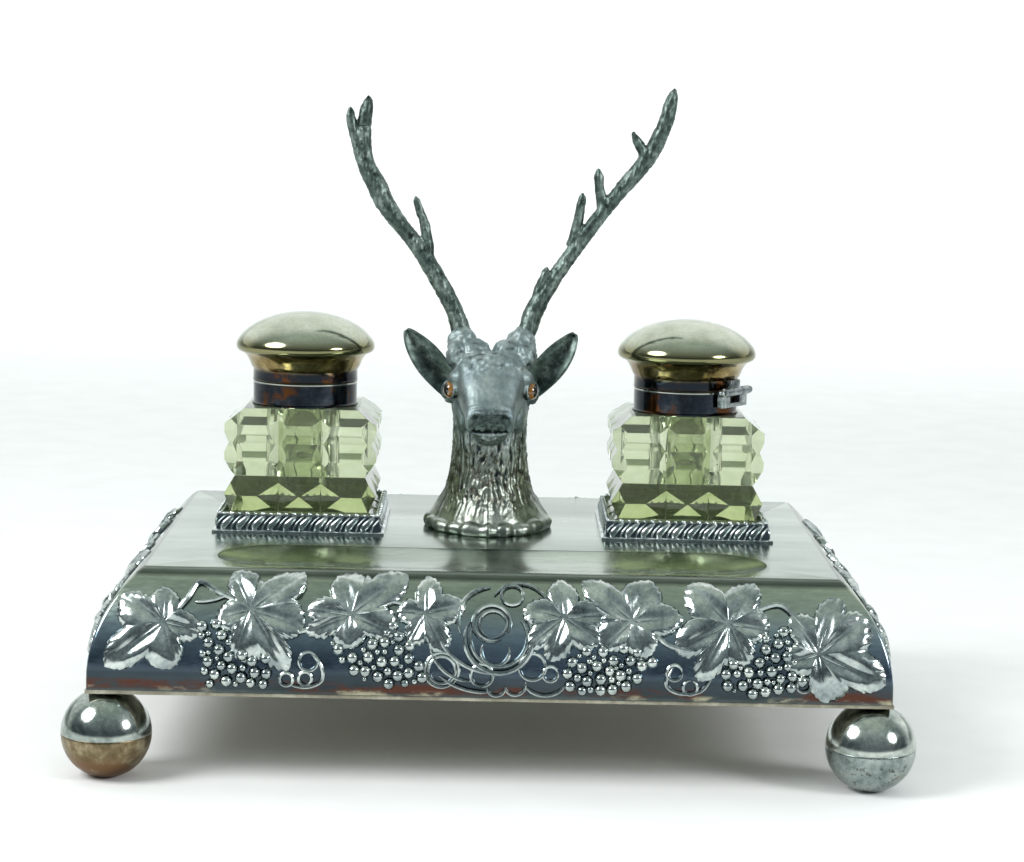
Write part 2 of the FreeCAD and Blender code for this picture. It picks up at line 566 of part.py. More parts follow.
def hinge(tag, side, turn):
    """Hinge halves and pin, with the hinge line to the bottle's right before turning."""
    bore = knuckle("bore_" + tag, "dims.pin_radius + dims.pin_fit", "-dims.barrel_half - 1",
                   "2 * dims.barrel_half + 2")
    collar_disc = primitive("Cylinder", "collar_disc_" + tag, Radius="dims.collar_radius",
                            Height=80)
    band_disc = primitive("Cylinder", "band_disc_" + tag, Radius="dims.band_radius", Height=80)
    outer_starts = ("-dims.barrel_half", "dims.knuckle_mid / 2 + dims.knuckle_gap")
    bars = [knuckle(f"collar_knuckle_{tag}{index}", "dims.barrel_radius", start,
                    "dims.knuckle_side") for index, start in enumerate(outer_starts)]
    plates = [leaf_block(f"collar_plate_{tag}{index}", start, "dims.knuckle_side",
                         "dims.collar_top - dims.leaf_drop", "dims.hinge_z")
              for index, start in enumerate(outer_starts)]
    # A strap low on the collar ties the two outer knuckles together.
    strap = leaf_block("collar_strap_" + tag, "-dims.barrel_half", "2 * dims.barrel_half",
                       "dims.collar_top - dims.leaf_drop - 1.5",
                       "dims.collar_top - dims.leaf_drop + 0.01")
    collar_leaf = cut("collar_leaf_" + tag, fuse("collar_leaf_blank_" + tag,
                                                 bars + plates + [strap]), [bore, collar_disc])
    middle = knuckle("lid_knuckle_" + tag, "dims.barrel_radius", "-dims.knuckle_mid / 2",
                     "dims.knuckle_mid")
    plate = leaf_block("lid_plate_" + tag, "-dims.knuckle_mid / 2", "dims.knuckle_mid",
                       "dims.hinge_z", "dims.lid_bottom + dims.leaf_drop")
    lid_leaf = cut("lid_leaf_" + tag, fuse("lid_leaf_blank_" + tag, [middle, plate]),
                   [bore, band_disc])
    rod = knuckle("pin_rod_" + tag, "dims.pin_radius", "-dims.barrel_half - 0.8",
                  "2 * dims.barrel_half + 1.6")
    balls = [primitive("Sphere", f"pin_ball_{tag}{index}", Radius="dims.pin_ball",
                       x="dims.hinge_out", z="dims.hinge_z",
                       y=f"{sign} * (dims.barrel_half + dims.pin_ball + 0.05)")
             for index, sign in enumerate((-1, 1))]
    pin = fuse("hinge_pin_" + tag, [rod] + balls)
    for piece in (collar_leaf, lid_leaf, pin):
        keep(set_on_bottle(piece, side, turn), piece.Name)


def lid(tag, side, turn):
    """A mushroom lid: lower skirt, domed top and a liner disc that closes the band."""
    inner_band = "dims.band_radius - dims.lid_wall"
    inner_rim = "dims.rim_radius - dims.lid_wall"
    skirt = spun("lid_skirt_" + tag, [
        (inner_band, "dims.lid_bottom"), ("dims.band_radius", "dims.lid_bottom"),
        ("dims.band_radius", "dims.band_top"), ("dims.rim_radius", "dims.rim_z"),
        ("dims.rim_radius", "dims.rim_top"), (inner_rim, "dims.rim_top"),
        (inner_band, "dims.band_top + dims.lid_wall")],
        {2: ("dims.flare_radius", -1), 5: ("dims.flare_radius + dims.lid_wall", 1)})
    crown = primitive("Sphere", "crown_" + tag, Radius="dims.dome_radius",
                      z="dims.dome_top - dims.dome_radius")
    above_rim = primitive("Cylinder", "above_rim_" + tag, Radius="dims.rim_radius + 1",
                          Height="dims.dome_rise + 1", z="dims.rim_top")
    under_crown = primitive("Sphere", "under_crown_" + tag, Radius="dims.hollow_radius",
                            z="dims.dome_top - dims.lid_wall - dims.hollow_radius")
    dome = cut("lid_dome_" + tag, common("crown_cap_" + tag, [crown, above_rim]), under_crown)
    liner_edge = f"{inner_band} - dims.liner_fit"
    liner = spun("lid_liner_" + tag, [
        (0, "dims.lid_bottom"), (liner_edge, "dims.lid_bottom"),
        (liner_edge, "dims.lid_bottom + dims.liner_thick"),
        (0, "dims.lid_bottom + dims.liner_thick")])
    for piece in (skirt, dome, liner):
        keep(set_on_bottle(piece, side, turn), piece.Name)


for tag, side, turn in (("left", -1, 90), ("right", 1, -35)):
    gallery("gallery_" + tag, side)
    bottle("bottle_" + tag, side)
    collar_set(tag, side, turn)
    hinge(tag, side, turn)
    lid(tag, side, turn)


# Stag's head.
def tapering(name, points, radii):
    """A round bar through points with a radius at each, as a lofted solid."""
    places = [Vector(*point) for point in points]
    sections = []
    for index, place in enumerate(places):
        ahead = places[min(index + 1, len(places) - 1)]
        behind = places[max(index - 1, 0)]
        circle = Part.Circle(place, ahead - behind, radii[index])
        sections.append(Part.Wire(circle.toShape()))
    feature = doc.addObject("Part::Feature", name)
    feature.Shape = Part.makeLoft(sections, True, False)
    return feature


# Each neck section: height, half width, half length and how far its middle lies from neck_y.
NECK = [(0, 1, 1, 0), (0.04, 0.97, 0.97, 0), (0.13, 0.88, 0.86, -0.5), (0.36, 0.66, 0.66, -3),
        (0.56, 0.61, 0.53, -6), (0.8, 0.56, 0.42, -9)]
neck_body = doc.addObject("PartDesign::Body", "neck")
neck_sections = []
for index, (rise, wide, deep, shift) in enumerate(NECK):
    section = neck_body.newObject("Sketcher::SketchObject", f"neck_section{index}")
    plane = [f for f in neck_body.Origin.OriginFeatures if f.Role == "XY_Plane"][0]
    section.AttachmentSupport = [(plane, "")]
    section.MapMode = "FlatFace"
    height = rise * (value("dims.skull_z") - value("dims.plate_top")) + value("dims.plate_top")
    section.AttachmentOffset = FreeCAD.Placement(
        Vector(value("dims.head_x"), value("dims.neck_y") + shift, height), FreeCAD.Rotation())
    long_axis = value("dims.neck_half_y") * deep
    short_axis = value("dims.neck_half_x") * wide
    if long_axis > short_axis:
        oval = Part.Ellipse(Vector(0, long_axis, 0), Vector(short_axis, 0, 0), Vector(0, 0, 0))
    else:
        oval = Part.Ellipse(Vector(short_axis, 0, 0), Vector(0, long_axis, 0), Vector(0, 0, 0))
    section.addGeometry(oval, False)
    neck_sections.append(section)
neck_loft = neck_body.newObject("PartDesign::AdditiveLoft", "neck_loft")
neck_loft.Profile = neck_sections[0]
neck_loft.Sections = neck_sections[1:]

skull = primitive("Ellipsoid", "skull", Radius1="15", Radius2="dims.skull_half_x * 1.12",
                  Radius3="dims.skull_half_x", Angle1=-90, x="dims.head_x", y="dims.skull_y",
                  z="dims.skull_z + 1")
turned(skull, Vector(0, 0, 1), 90)
muzzle = tapering("muzzle", [(value("dims.head_x"), value("dims.skull_y") - 4,
                              value("dims.skull_z") - 1),
                             (value("dims.head_x"), value("dims.skull_y") - 13,
                              value("dims.skull_z") - 5),
                             (value("dims.head_x"), value("dims.nose_y") + 3,
                              value("dims.nose_z") + 1),
                             (value("dims.head_x"), value("dims.nose_y"), value("dims.nose_z"))],
                  [12.5, 10.5, value("dims.nose_half_x"), value("dims.nose_half_x") * 0.75])
SIDES = {"left": -1, "right": 1}
pedicles = [primitive("Cone", f"pedicle_{tag}", Radius1="dims.pedicle_radius + 1.5",
                      Radius2="dims.pedicle_radius", Height="dims.pedicle_top - dims.skull_z",
                      x=f"dims.head_x + {sign} * dims.pedicle_out * 0.82", y="dims.pedicle_y - 2",
                      z="dims.skull_z") for tag, sign in SIDES.items()]
sockets = [primitive("Sphere", f"socket_{tag}", Radius="dims.eye_radius + dims.eye_gap",
                     x=f"dims.head_x + {sign} * dims.eye_out", y="dims.eye_y", z="dims.eye_z")
           for tag, sign in SIDES.items()]
head_bore = primitive("Cylinder", "head_bore", Radius="dims.stud_seat", Height=30,
                      x="dims.head_x", y="dims.neck_y", z="dims.plate_top - 10")
head_blank = fuse("head_blank", [neck_body, skull, muzzle] + pedicles)
head = keep(cut("stag_head", head_blank, sockets + [head_bore]), "stag_head")
for tag, sign in SIDES.items():
    eye = primitive("Sphere", f"eye_{tag}", Radius="dims.eye_radius",
                    x=f"dims.head_x + {sign} * dims.eye_out", y="dims.eye_y", z="dims.eye_z")
    keep(eye, eye.Name)
    ear_blank = primitive("Ellipsoid", f"ear_blank_{tag}", Radius1="dims.ear_half",
                          Radius2="dims.ear_half_wide", Radius3="dims.ear_half_thick", Angle1=-90,
                          x=f"dims.head_x + {sign} * dims.ear_out", y="dims.ear_y", z="dims.ear_z")
    ear_blank.Placement.Rotation = FreeCAD.Rotation(Vector(0, 0, 1), Vector(sign * 0.57, 0.07, 0.82))
    keep(cut(f"ear_{tag}", ear_blank, head), f"ear_{tag}")

# Antlers: a beam and its tines, each point as x, y, z and radius, with x from the head's middle
# and z from the platform's top.
LEFT_ANTLER = [
    [(-9.4, 10, 66.5, 3.3), (-11.5, 11, 72.9, 3.5), (-13.6, 11.9, 78.6, 3.25),
     (-16.4, 12.7, 84.3, 3.2), (-19.8, 13.6, 90.1, 3.2), (-23.4, 14.4, 95.8, 3.15),
     (-27.2, 15.3, 101.5, 3), (-31.8, 16.1, 107.2, 2.9), (-36.6, 17, 112.9, 3.2),
     (-40.4, 17.8, 118.6, 3.6), (-43.3, 18.7, 124.3, 3.7), (-46.5, 19.5, 130, 3.3),
     (-49.3, 20, 135.4, 2.5), (-51.3, 20.5, 141.2, 1.9), (-52.6, 20.5, 145.5, 1.8),
     (-53.1, 20.5, 149.5, 1.7), (-53.2, 20.5, 151.5, 0.9)],
    [(-46.3, 19.8, 131, 2.6), (-47.8, 20.4, 136.5, 2.7), (-47.9, 20.5, 141.6, 2.6),
     (-47.9, 20.5, 147.2, 2.6), (-47.2, 20.5, 151.8, 2.4), (-46.7, 20.5, 154.8, 1.6),
     (-46.7, 20.5, 156, 0.8)],
    [(-23.4, 14.4, 95.5, 2.1), (-23.5, 14.8, 100.5, 2), (-24.4, 14.8, 106, 1.95),
     (-25.6, 14.6, 111.5, 1.75), (-27.4, 14.3, 116, 1.6), (-28.4, 14, 119.2, 1.2),
     (-28.7, 14, 120.2, 0.6)]]
RIGHT_ANTLER = [
    [(11.6, 10, 69.5, 3.6), (13.2, 11, 73.4, 3.5), (15.1, 11.9, 79.2, 3.5),
     (18.2, 12.7, 85.1, 3.25), (21.8, 13.6, 90.9, 2.95), (25.8, 14.4, 96.8, 2.75),
     (29.9, 15.3, 102.7, 2.75), (34.1, 16.1, 108.6, 2.75), (38.5, 17, 114.5, 2.65),
     (43.1, 17.8, 120.4, 2.7), (47.9, 18.7, 126.2, 2.8), (52.9, 19.5, 132.1, 3),
     (57.1, 20.4, 138, 2.95), (59.9, 20.5, 143.9, 2.9), (62.2, 20.5, 149.8, 2.75),
     (63.6, 20.5, 155.6, 2.4), (64.4, 20.5, 158.8, 1.8), (64.8, 20.5, 160.8, 0.9)],
    [(15.8, 12.2, 81.5, 2.3), (16.8, 12.4, 86.5, 2.15), (18.3, 12.3, 90.9, 1.85),
     (19.3, 12.2, 94.2, 1.4), (19.5, 12.2, 95.4, 0.7)],
    [(28.6, 15.3, 103.5, 2.2), (29.8, 15.5, 108.4, 1.95), (30.8, 15.3, 113.5, 1.85),
     (31.3, 15, 117.5, 1.75), (32, 14.8, 121, 1.4), (32.1, 14.8, 122.6, 0.7)],
    [(39.6, 17.3, 116.5, 2.2), (39.1, 17.6, 120.2, 2), (38.2, 17.3, 125, 1.85),
     (37.9, 17, 129, 1.75), (37.8, 16.8, 131.2, 0.9)],
    [(55.2, 20, 135.5, 2.4), (53.2, 19.5, 139.4, 2), (51.2, 18.6, 142.8, 1.6),
     (50.2, 18, 144.8, 0.8)]]
for tag, branches in (("left", LEFT_ANTLER), ("right", RIGHT_ANTLER)):
    bars = [tapering(f"antler_{tag}{index}", [(x + dims.head_x, y, z + dims.plate_top)
                                          for x, y, z, _ in points],
                     [radius for *_, radius in points]) for index, points in enumerate(branches)]
    keep(cut(f"antler_{tag}", fuse(f"antler_blank_{tag}", bars), head), f"antler_{tag}")

head_rod = primitive("Cylinder", "head_rod", Radius="dims.stud_radius",
                     x="dims.head_x", y="dims.neck_y",
                     z="dims.plate_top - dims.sheet_wall - dims.stud_above_plate",
                     Height="dims.stud_above_plate + dims.sheet_wall + 19")
keep(head_rod, "head_stud")
head_washer, head_nut = washer_and_nut("head", "dims.head_x", "dims.neck_y",
                                       "dims.plate_top - dims.sheet_wall", -1)
keep(head_washer, "head_washer")
keep(head_nut, "head_nut")

doc.recompute()
for thing in doc.Objects:
    if "Invalid" in thing.State or "Error" in thing.State:
        raise RuntimeError(f"{thing.Name} did not compute: {thing.State}")
for node in nodes:
    if node.Shape.isNull() or not node.Shape.isValid() or not node.Shape.Solids:
        raise RuntimeError(f"{node.Label} has no valid solid")
os.makedirs("parts", exist_ok=True)
for node in nodes:
    node.Shape.exportStep(f"parts/{node.Label}.step")
    print(f"{node.Label}: {len(node.Shape.Solids)} solids, {node.Shape.Volume:.0f} mm3")
print(len(nodes), "sub-parts written")
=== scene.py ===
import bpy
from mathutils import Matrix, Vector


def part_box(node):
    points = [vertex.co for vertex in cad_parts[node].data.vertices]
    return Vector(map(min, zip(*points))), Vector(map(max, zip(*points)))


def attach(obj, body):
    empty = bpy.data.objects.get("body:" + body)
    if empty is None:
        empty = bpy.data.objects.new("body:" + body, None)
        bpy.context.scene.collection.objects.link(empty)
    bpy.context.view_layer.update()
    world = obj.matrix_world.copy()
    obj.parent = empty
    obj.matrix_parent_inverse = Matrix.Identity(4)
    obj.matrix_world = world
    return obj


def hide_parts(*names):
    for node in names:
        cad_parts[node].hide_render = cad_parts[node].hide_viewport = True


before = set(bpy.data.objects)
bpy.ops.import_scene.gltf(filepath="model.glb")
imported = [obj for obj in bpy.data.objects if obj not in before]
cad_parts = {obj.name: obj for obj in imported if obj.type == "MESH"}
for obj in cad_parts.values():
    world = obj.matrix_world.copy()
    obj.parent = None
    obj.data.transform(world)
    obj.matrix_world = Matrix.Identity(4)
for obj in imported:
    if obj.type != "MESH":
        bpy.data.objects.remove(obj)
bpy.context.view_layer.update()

import bmesh
import bpy
import math
import random
from mathutils import Matrix, Vector, noise

bl_info = {
    "name": "Stag's-head inkstand",
    "version": (1, 0, 0),
    "blender": (4, 5, 0),
    "location": "3D View > Sidebar > Inkstand",
    "description": "Models the silver-plated inkstand's visible pieces around its CAD frame",
    "category": "Object",
}

MM = 0.001


def node_box(node):
    """A frame node's lowest and highest corner, in millimetres."""
    return [[round(c / MM, 2) for c in corner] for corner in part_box(node)]


def node_middle(node):
    """The middle of a frame node's box, in millimetres."""
    return [round((low + high) / 2, 1) for low, high in zip(*node_box(node))]


# Platform: OVERHANG is how far a skirt stands out past the flat top, BOW its radius.
SKIRT_BOTTOM = node_box("platform_shell")[0][2]
PLATE_TOP = node_box("platform_shell")[1][2]
OVERHANG = 16.8
PLATE = [round(half - OVERHANG, 1) for half in node_box("platform_shell")[1][:2]]
BOW = 45.0
BOW_CENTRE = 34.333
SHEET = 1.5
CORNER = 1.2
# Pen tray: the straight part's half length, the half width, the middle and the depth.
TRAY_HALF_RUN = 74.0
TRAY_HALF_WIDTH = 20.0
TRAY_Y = -57.0
TRAY_DEPTH = 3.0
TRAY_ROLL = 0.5
TRAY_ROLL_DROP = 0.28
GALLERY = node_middle("gallery_right")[:2]
GALLERY_RISE = 7.0
HEAD_X = -1.8
SIDES = {"left": -1, "right": 1}
HINGE_TURN = {"left": 90, "right": -35}


# ---------------------------------------------------------------- materials

def linear(code, alpha=1.0):
    """An sRGB hex colour as linear red, green, blue and alpha."""
    parts = [int(code[i:i + 2], 16) / 255 for i in (1, 3, 5)]
    return tuple(c / 12.92 if c <= 0.04045 else ((c + 0.055) / 1.055) ** 2.4
                 for c in parts) + (alpha,)


def add(tree, kind, links=None, **settings):
    """Add a node with its settings, its fixed inputs and its links."""
    made = tree.nodes.new(kind)
    for name, setting in settings.items():
        setattr(made, name, setting)
    for socket, source in (links or {}).items():
        if isinstance(source, bpy.types.NodeSocket):
            tree.links.new(source, made.inputs[socket])
        else:
            made.inputs[socket].default_value = source
    return made


def new_material(name):
    """An empty node material with its shader and output."""
    material = bpy.data.materials.new(name)
    material.use_nodes = True
    tree = material.node_tree
    tree.nodes.clear()
    shader = add(tree, "ShaderNodeBsdfPrincipled")
    add(tree, "ShaderNodeOutputMaterial", {"Surface": shader.outputs["BSDF"]})
    return material, tree, shader


def ramp(tree, source, stops):
    """A colour ramp; stops are (place, colour or grey)."""
    made = add(tree, "ShaderNodeValToRGB", {"Fac": source})
    elements = made.color_ramp.elements
    while len(elements) < len(stops):
        elements.new(0.5)
    for element, (place, colour) in zip(elements, stops):
        element.position = place
        element.color = linear(colour) if isinstance(colour, str) else (colour,) * 3 + (1,)
    return made.outputs["Color"]


def mixed(tree, factor, first, second):
    """Blend two colours."""
    return add(tree, "ShaderNodeMix", {0: factor, 6: first, 7: second},
               data_type="RGBA").outputs[2]


def maths(tree, operation, first, second=0.0):
    """One sum or product of two values."""
    return add(tree, "ShaderNodeMath", {0: first, 1: second}, operation=operation).outputs[0]


def ramp_range(tree, source, low, high):
    """0 below low, 1 above high, smooth between."""
    return add(tree, "ShaderNodeMapRange", {"Value": source, "From Min": low, "From Max": high},
               interpolation_type="SMOOTHSTEP").outputs["Result"]


def speckle(tree, place, size_mm, detail=3.0, rough=0.55, stretch=(1, 1, 1)):
    """Noise whose blobs are about size_mm across in the piece's own space."""
    scaled = add(tree, "ShaderNodeMapping", {"Vector": place, "Scale": stretch}).outputs[0]
    return add(tree, "ShaderNodeTexNoise", {"Vector": scaled, "Scale": 1 / (size_mm * MM),
                                            "Detail": detail, "Roughness": rough}).outputs["Fac"]


def worn_metal(name, tones, rough=(0.15, 0.3), blotch=9.0, relief_shade=None, patches=(), grit=0.25,
               bump=0.12, stretch=(1, 1, 1), painted_light_zones=()):
    """Old plated metal: blotched tarnish, fine scratches, patches where the plating is worn
    through, and where asked, painted shade and painted reflection.

    tones are three hex colours from tarnished to clean. relief names a point attribute that is 0
    deep in a recess and 1 on high ground, with the recess colour, which is painted shade. Each
    patch is (colour, low z, high z, blob size, cover, roughness): another colour between two
    heights; the lid dome's patch is a painted darker reflection. zones are stops of painted
    reflection and shade that tint the metal along the point attribute rise.
    """
    material, tree, shader = new_material(name)
    place = add(tree, "ShaderNodeTexCoord").outputs["Object"]
    broad = speckle(tree, place, blotch, 4, 0.6, stretch)
    fine = speckle(tree, place, grit * 6, 5, 0.7, stretch)
    tarnish = maths(tree, "ADD", maths(tree, "MULTIPLY", broad, 0.7),
                    maths(tree, "MULTIPLY", fine, 0.3))
    colour = ramp(tree, tarnish, [(0.36, tones[0]), (0.5, tones[1]), (0.62, tones[2])])
    roughness = add(tree, "ShaderNodeMapRange", {"Value": fine, "From Min": 0.3, "From Max": 0.7,
                                                 "To Min": rough[0],
                                                 "To Max": rough[1]}).outputs["Result"]
    # Painted reflection and shade: the stops darken or lighten the metal along rise.
    if painted_light_zones:
        rise = add(tree, "ShaderNodeAttribute", attribute_name="rise").outputs["Fac"]
        colour = add(tree, "ShaderNodeMix", {0: 1.0, 6: colour, 7: ramp(tree, rise, painted_light_zones)},
                     data_type="RGBA", blend_type="MULTIPLY").outputs[2]
    if patches:
        height = add(tree, "ShaderNodeSeparateXYZ", {0: place}).outputs["Z"]
        for patch_colour, low, high, size, cover, patch_rough in patches:
            soft = max((high - low) * 0.3, 0.3) * MM
            above = ramp_range(tree, height, low * MM - soft, low * MM + soft)
            below = ramp_range(tree, height, high * MM + soft, high * MM - soft)
            blobs = ramp_range(tree, speckle(tree, place, size, 5, 0.65, stretch),
                               1 - cover - 0.07, 1 - cover + 0.07)
            mask = maths(tree, "MULTIPLY", maths(tree, "MULTIPLY", above, below), blobs)
            colour = mixed(tree, mask, colour, linear(patch_colour))
            roughness = add(tree, "ShaderNodeMix", {0: mask, 2: roughness,
                                                    3: patch_rough}).outputs[0]
    # Painted shade: the recess colour is painted in where the relief value is low.
    if relief_shade:
        height = add(tree, "ShaderNodeAttribute", attribute_name="relief_shade").outputs["Fac"]
        shown = ramp_range(tree, maths(tree, "ADD", height, maths(
            tree, "MULTIPLY", maths(tree, "SUBTRACT", fine, 0.5), 0.5)), 0.1, 0.55)
        colour = mixed(tree, shown, linear(relief_shade), colour)
        roughness = add(tree, "ShaderNodeMix", {0: shown, 2: 0.42, 3: roughness}).outputs[0]
    tree.links.new(colour, shader.inputs["Base Color"])
    tree.links.new(roughness, shader.inputs["Roughness"])
    shader.inputs["Metallic"].default_value = 1.0
    scratches = speckle(tree, place, grit, 2, 0.5, (1, 1, 1))
    dents = speckle(tree, place, 14, 1, 0.4)
    rough_height = maths(tree, "ADD", maths(tree, "MULTIPLY", scratches, grit * MM * 0.25),
                         maths(tree, "MULTIPLY", dents, 0.5 * MM))
    surface = add(tree, "ShaderNodeBump", {"Height": rough_height, "Strength": bump,
                                           "Distance": 1.0})
    tree.links.new(surface.outputs[0], shader.inputs["Normal"])
    return material


def cut_glass():
    """Soda-lime glass with a pale green-yellow body tint, cut and polished, faintly soiled."""
    material, tree, shader = new_material("polished_cut_soda_glass")
    place = add(tree, "ShaderNodeTexCoord").outputs["Object"]
    height = add(tree, "ShaderNodeSeparateXYZ", {0: place}).outputs["Z"]
    lower = ramp_range(tree, height, (PLATE_TOP + 17.5) * MM, (PLATE_TOP + 21) * MM)
    haze = speckle(tree, place, 6, 3)
    upper_tint = ramp(tree, haze, [(0.35, "#cad5b0"), (0.65, "#d6dfc0")])
    lower_tint = ramp(tree, haze, [(0.35, "#aebd80"), (0.65, "#c3d09a")])
    tree.links.new(mixed(tree, lower, lower_tint, upper_tint), shader.inputs["Base Color"])
    tree.links.new(ramp(tree, haze, [(0.45, 0.0), (0.75, 0.035)]), shader.inputs["Roughness"])
    shader.inputs["Transmission Weight"].default_value = 0.9
    shader.inputs["IOR"].default_value = 1.5
    return material


def glass_eye():
    """Amber glass with a black pupil that looks outward and forward, in a pale rim."""
    material, tree, shader = new_material("amber_glass_eye")
    place = add(tree, "ShaderNodeTexCoord").outputs["Object"]
    look = add(tree, "ShaderNodeAttribute", attribute_name="look").outputs["Fac"]
    streaks = speckle(tree, place, 0.5, 3)
    iris = ramp(tree, streaks, [(0.3, "#5e3812"), (0.55, "#946322"), (0.75, "#b5863c")])
    pupil = ramp_range(tree, look, 0.7, 0.78)
    rim = ramp_range(tree, look, 1.25, 1.35)
    colour = mixed(tree, pupil, linear("#0a0806"), iris)
    tree.links.new(mixed(tree, rim, colour, linear("#b8b29a")), shader.inputs["Base Color"])
    tree.links.new(ramp(tree, streaks, [(0.3, 0.04), (0.8, 0.1)]), shader.inputs["Roughness"])
    shader.inputs["Coat Weight"].default_value = 1.0
    shader.inputs["Coat Roughness"].default_value = 0.03
    return material


def plaster():
    """Dry white cement, matt and grainy."""
    material, tree, shader = new_material("plaster_cement")
    place = add(tree, "ShaderNodeTexCoord").outputs["Object"]
    grains = speckle(tree, place, 0.4, 4)
    tree.links.new(ramp(tree, grains, [(0.3, "#9c968a"), (0.7, "#d8d3c8")]),
                   shader.inputs["Base Color"])
    shader.inputs["Roughness"].default_value = 0.9
    surface = add(tree, "ShaderNodeBump", {"Height": grains, "Strength": 0.3,
                                           "Distance": 0.0003})
    tree.links.new(surface.outputs[0], shader.inputs["Normal"])
    return material


def make_materials(colours):
    """Every finish of the stand, by the name the pieces ask for."""
    silver = (colours.tarnished, colours.silver_mid, colours.silver_clean)
    return {
        "platform": worn_metal(
            "silver_plate_on_sheet_brass", silver, (0.14, 0.24), 26, bump=0.1, grit=0.3,
            stretch=(0.35, 1.6, 1),
            # Painted reflection and shade along rise: dark blue-grey low on the skirt, where it
            # faces the dark front, pale blue to white up its curve, where it faces the sky, a dark
            # line of painted shade at the plate's edge and the tray's edge, white on the plate.
            painted_light_zones=[(0.0, "#7d8288"), (0.03, "#5b626c"), (0.14, "#626a78"), (0.22, "#a3b2d2"),
                   (0.45, "#c6d4ec"), (0.7, "#e9ede9"), (0.88, "#f4f5ec"), (0.92, "#7c817d"),
                   (0.955, "#8d928d"), (0.99, "#ebeeea")],
            patches=[(colours.copper, 31.4, 34.6, 10, 0.5, 0.3),
                     ("#a9a58d", 30, 32.2, 9, 0.44, 0.25)]),
        # The recess colour is painted shade in the border's hollows and under its leaves.
        "border": worn_metal("stamped_silver_border", ("#7f898c", "#a9b3b1", "#d0d7d3"),
                             (0.12, 0.22), 7, relief_shade="#2a323a", grit=0.2, bump=0.08),
        # The recess colour is painted shade between the lobes and under the beads.
        "gallery": worn_metal("cast_silver_gallery", ("#8b969a", "#b6c0c1", "#dde1e0"),
                              (0.16, 0.28), 4, relief_shade="#57636b", grit=0.2, bump=0.08),
        "dome": worn_metal("spun_silver_lid_top", ("#a0a694", "#b1b7a6", "#c0c5b6"),
                           (0.1, 0.16), 12, grit=0.22, bump=0.05,
                           # The patch over the dome's lower part and rim is a painted darker
                           # reflection.
                           patches=[("#7f7d5c", 130, 137.4, 30, 1.0, 0.12)]),
        "flare": worn_metal("worn_lid_flare", ("#5a4d30", "#85744a", "#a99a72"), (0.1, 0.18), 7,
                            grit=0.22, bump=0.05,
                            patches=[("#22272d", 121.6, 126.4, 30, 1.0, 0.1),
                                     ("#54341a", 121.6, 127.5, 10, 0.44, 0.12)]),
        "collar": worn_metal("oxidised_brass_collar", ("#1b2026", "#262c33", "#3a4046"),
                             (0.07, 0.14), 7, grit=0.22, bump=0.05,
                             patches=[("#54341a", 112, 121.2, 10, 0.44, 0.12),
                                      ("#b9bdb6", 121.3, 122.4, 30, 1.0, 0.16)]),
        "hinge": worn_metal("hinge_nickel_silver", ("#5d6467", "#858d8e", "#aeb4b2"),
                            (0.2, 0.34), 3, grit=0.2, bump=0.12),
        # The recess colour is painted shade in the hair, nostrils, mouth and eye hollows.
        "face": worn_metal("pewter_head", ("#78868a", "#8d9b9c", "#a3afae"), (0.48, 0.6), 7,
                           relief_shade="#22292b", grit=0.3, bump=0.1,
                           patches=[("#838a81", 66, 102, 20, 1.0, 0.36),
                                    ("#4f4d44", 79, 104, 3.2, 0.46, 0.4),
                                    ("#a4aba3", 66, 79, 6, 0.5, 0.36),
                                    ("#b9bdb3", 83, 100, 2.2, 0.36, 0.28)]),
        # The recess colour is painted shade in the antlers' furrows and the ears' cups.
        "antler": worn_metal("oxidised_antler_bronze", ("#3b4643", "#5a6863", "#8a9892"),
                             (0.36, 0.54), 5, relief_shade="#1a211f", grit=0.3, bump=0.16),
        "foot": worn_metal("worn_ball_foot", ("#77817d", "#a3aca6", "#c8cec7"), (0.1, 0.18), 9,
                           grit=0.25, bump=0.08),
        "foot_brown": worn_metal("ball_foot_worn_to_brass", ("#564c3a", "#7f7156", "#9f9479"),
                                 (0.24, 0.38), 6, grit=0.4, bump=0.2,
                                 patches=[("#765a3e", -1, 8, 8, 0.6, 0.4),
                                          ("#2a2620", 0, 13, 1.6, 0.3, 0.5)]),
        "foot_grey": worn_metal("ball_foot_pitted_plate", ("#6c7775", "#98a3a0", "#b4bdb8"),
                                (0.18, 0.3), 6, grit=0.4, bump=0.16,
                                patches=[("#3a3430", 2, 13.5, 2.4, 0.38, 0.42),
                                         ("#7d6f60", -1, 8, 6, 0.4, 0.36)]),
        "base": worn_metal("sheet_brass_base", ("#7b7668", "#989484", "#bdbaaa"), (0.3, 0.45),
                           14, grit=0.4, bump=0.15),
        "fixing": worn_metal("turned_brass_fixing", ("#6b5632", "#8b7242", "#a98f5a"),
                             (0.25, 0.4), 3, grit=0.25, bump=0.15),
        "glass": cut_glass(), "eye": glass_eye(), "cement": plaster(),
    }


materials = {}


# ---------------------------------------------------------------- modelling helpers

def clamp(value, low=0, high=1):
    """A value kept between low and high."""
    return max(low, min(high, value))


def quarter_turned(x, y, quarters):
    """A point turned about Z by so many quarter turns."""
    cos, sin = ((1, 0), (0, 1), (-1, 0), (0, -1))[quarters]
    return x * cos - y * sin, x * sin + y * cos


def deselect():
    """Leave edit mode and clear the selection."""
    if bpy.context.mode != "OBJECT":
        bpy.ops.object.mode_set(mode="OBJECT")
    bpy.ops.object.select_all(action="DESELECT")


def activate(thing):
    """Select one object alone and make it the active one."""
    deselect()
    bpy.context.view_layer.objects.active = thing
    thing.select_set(True)
    return thing


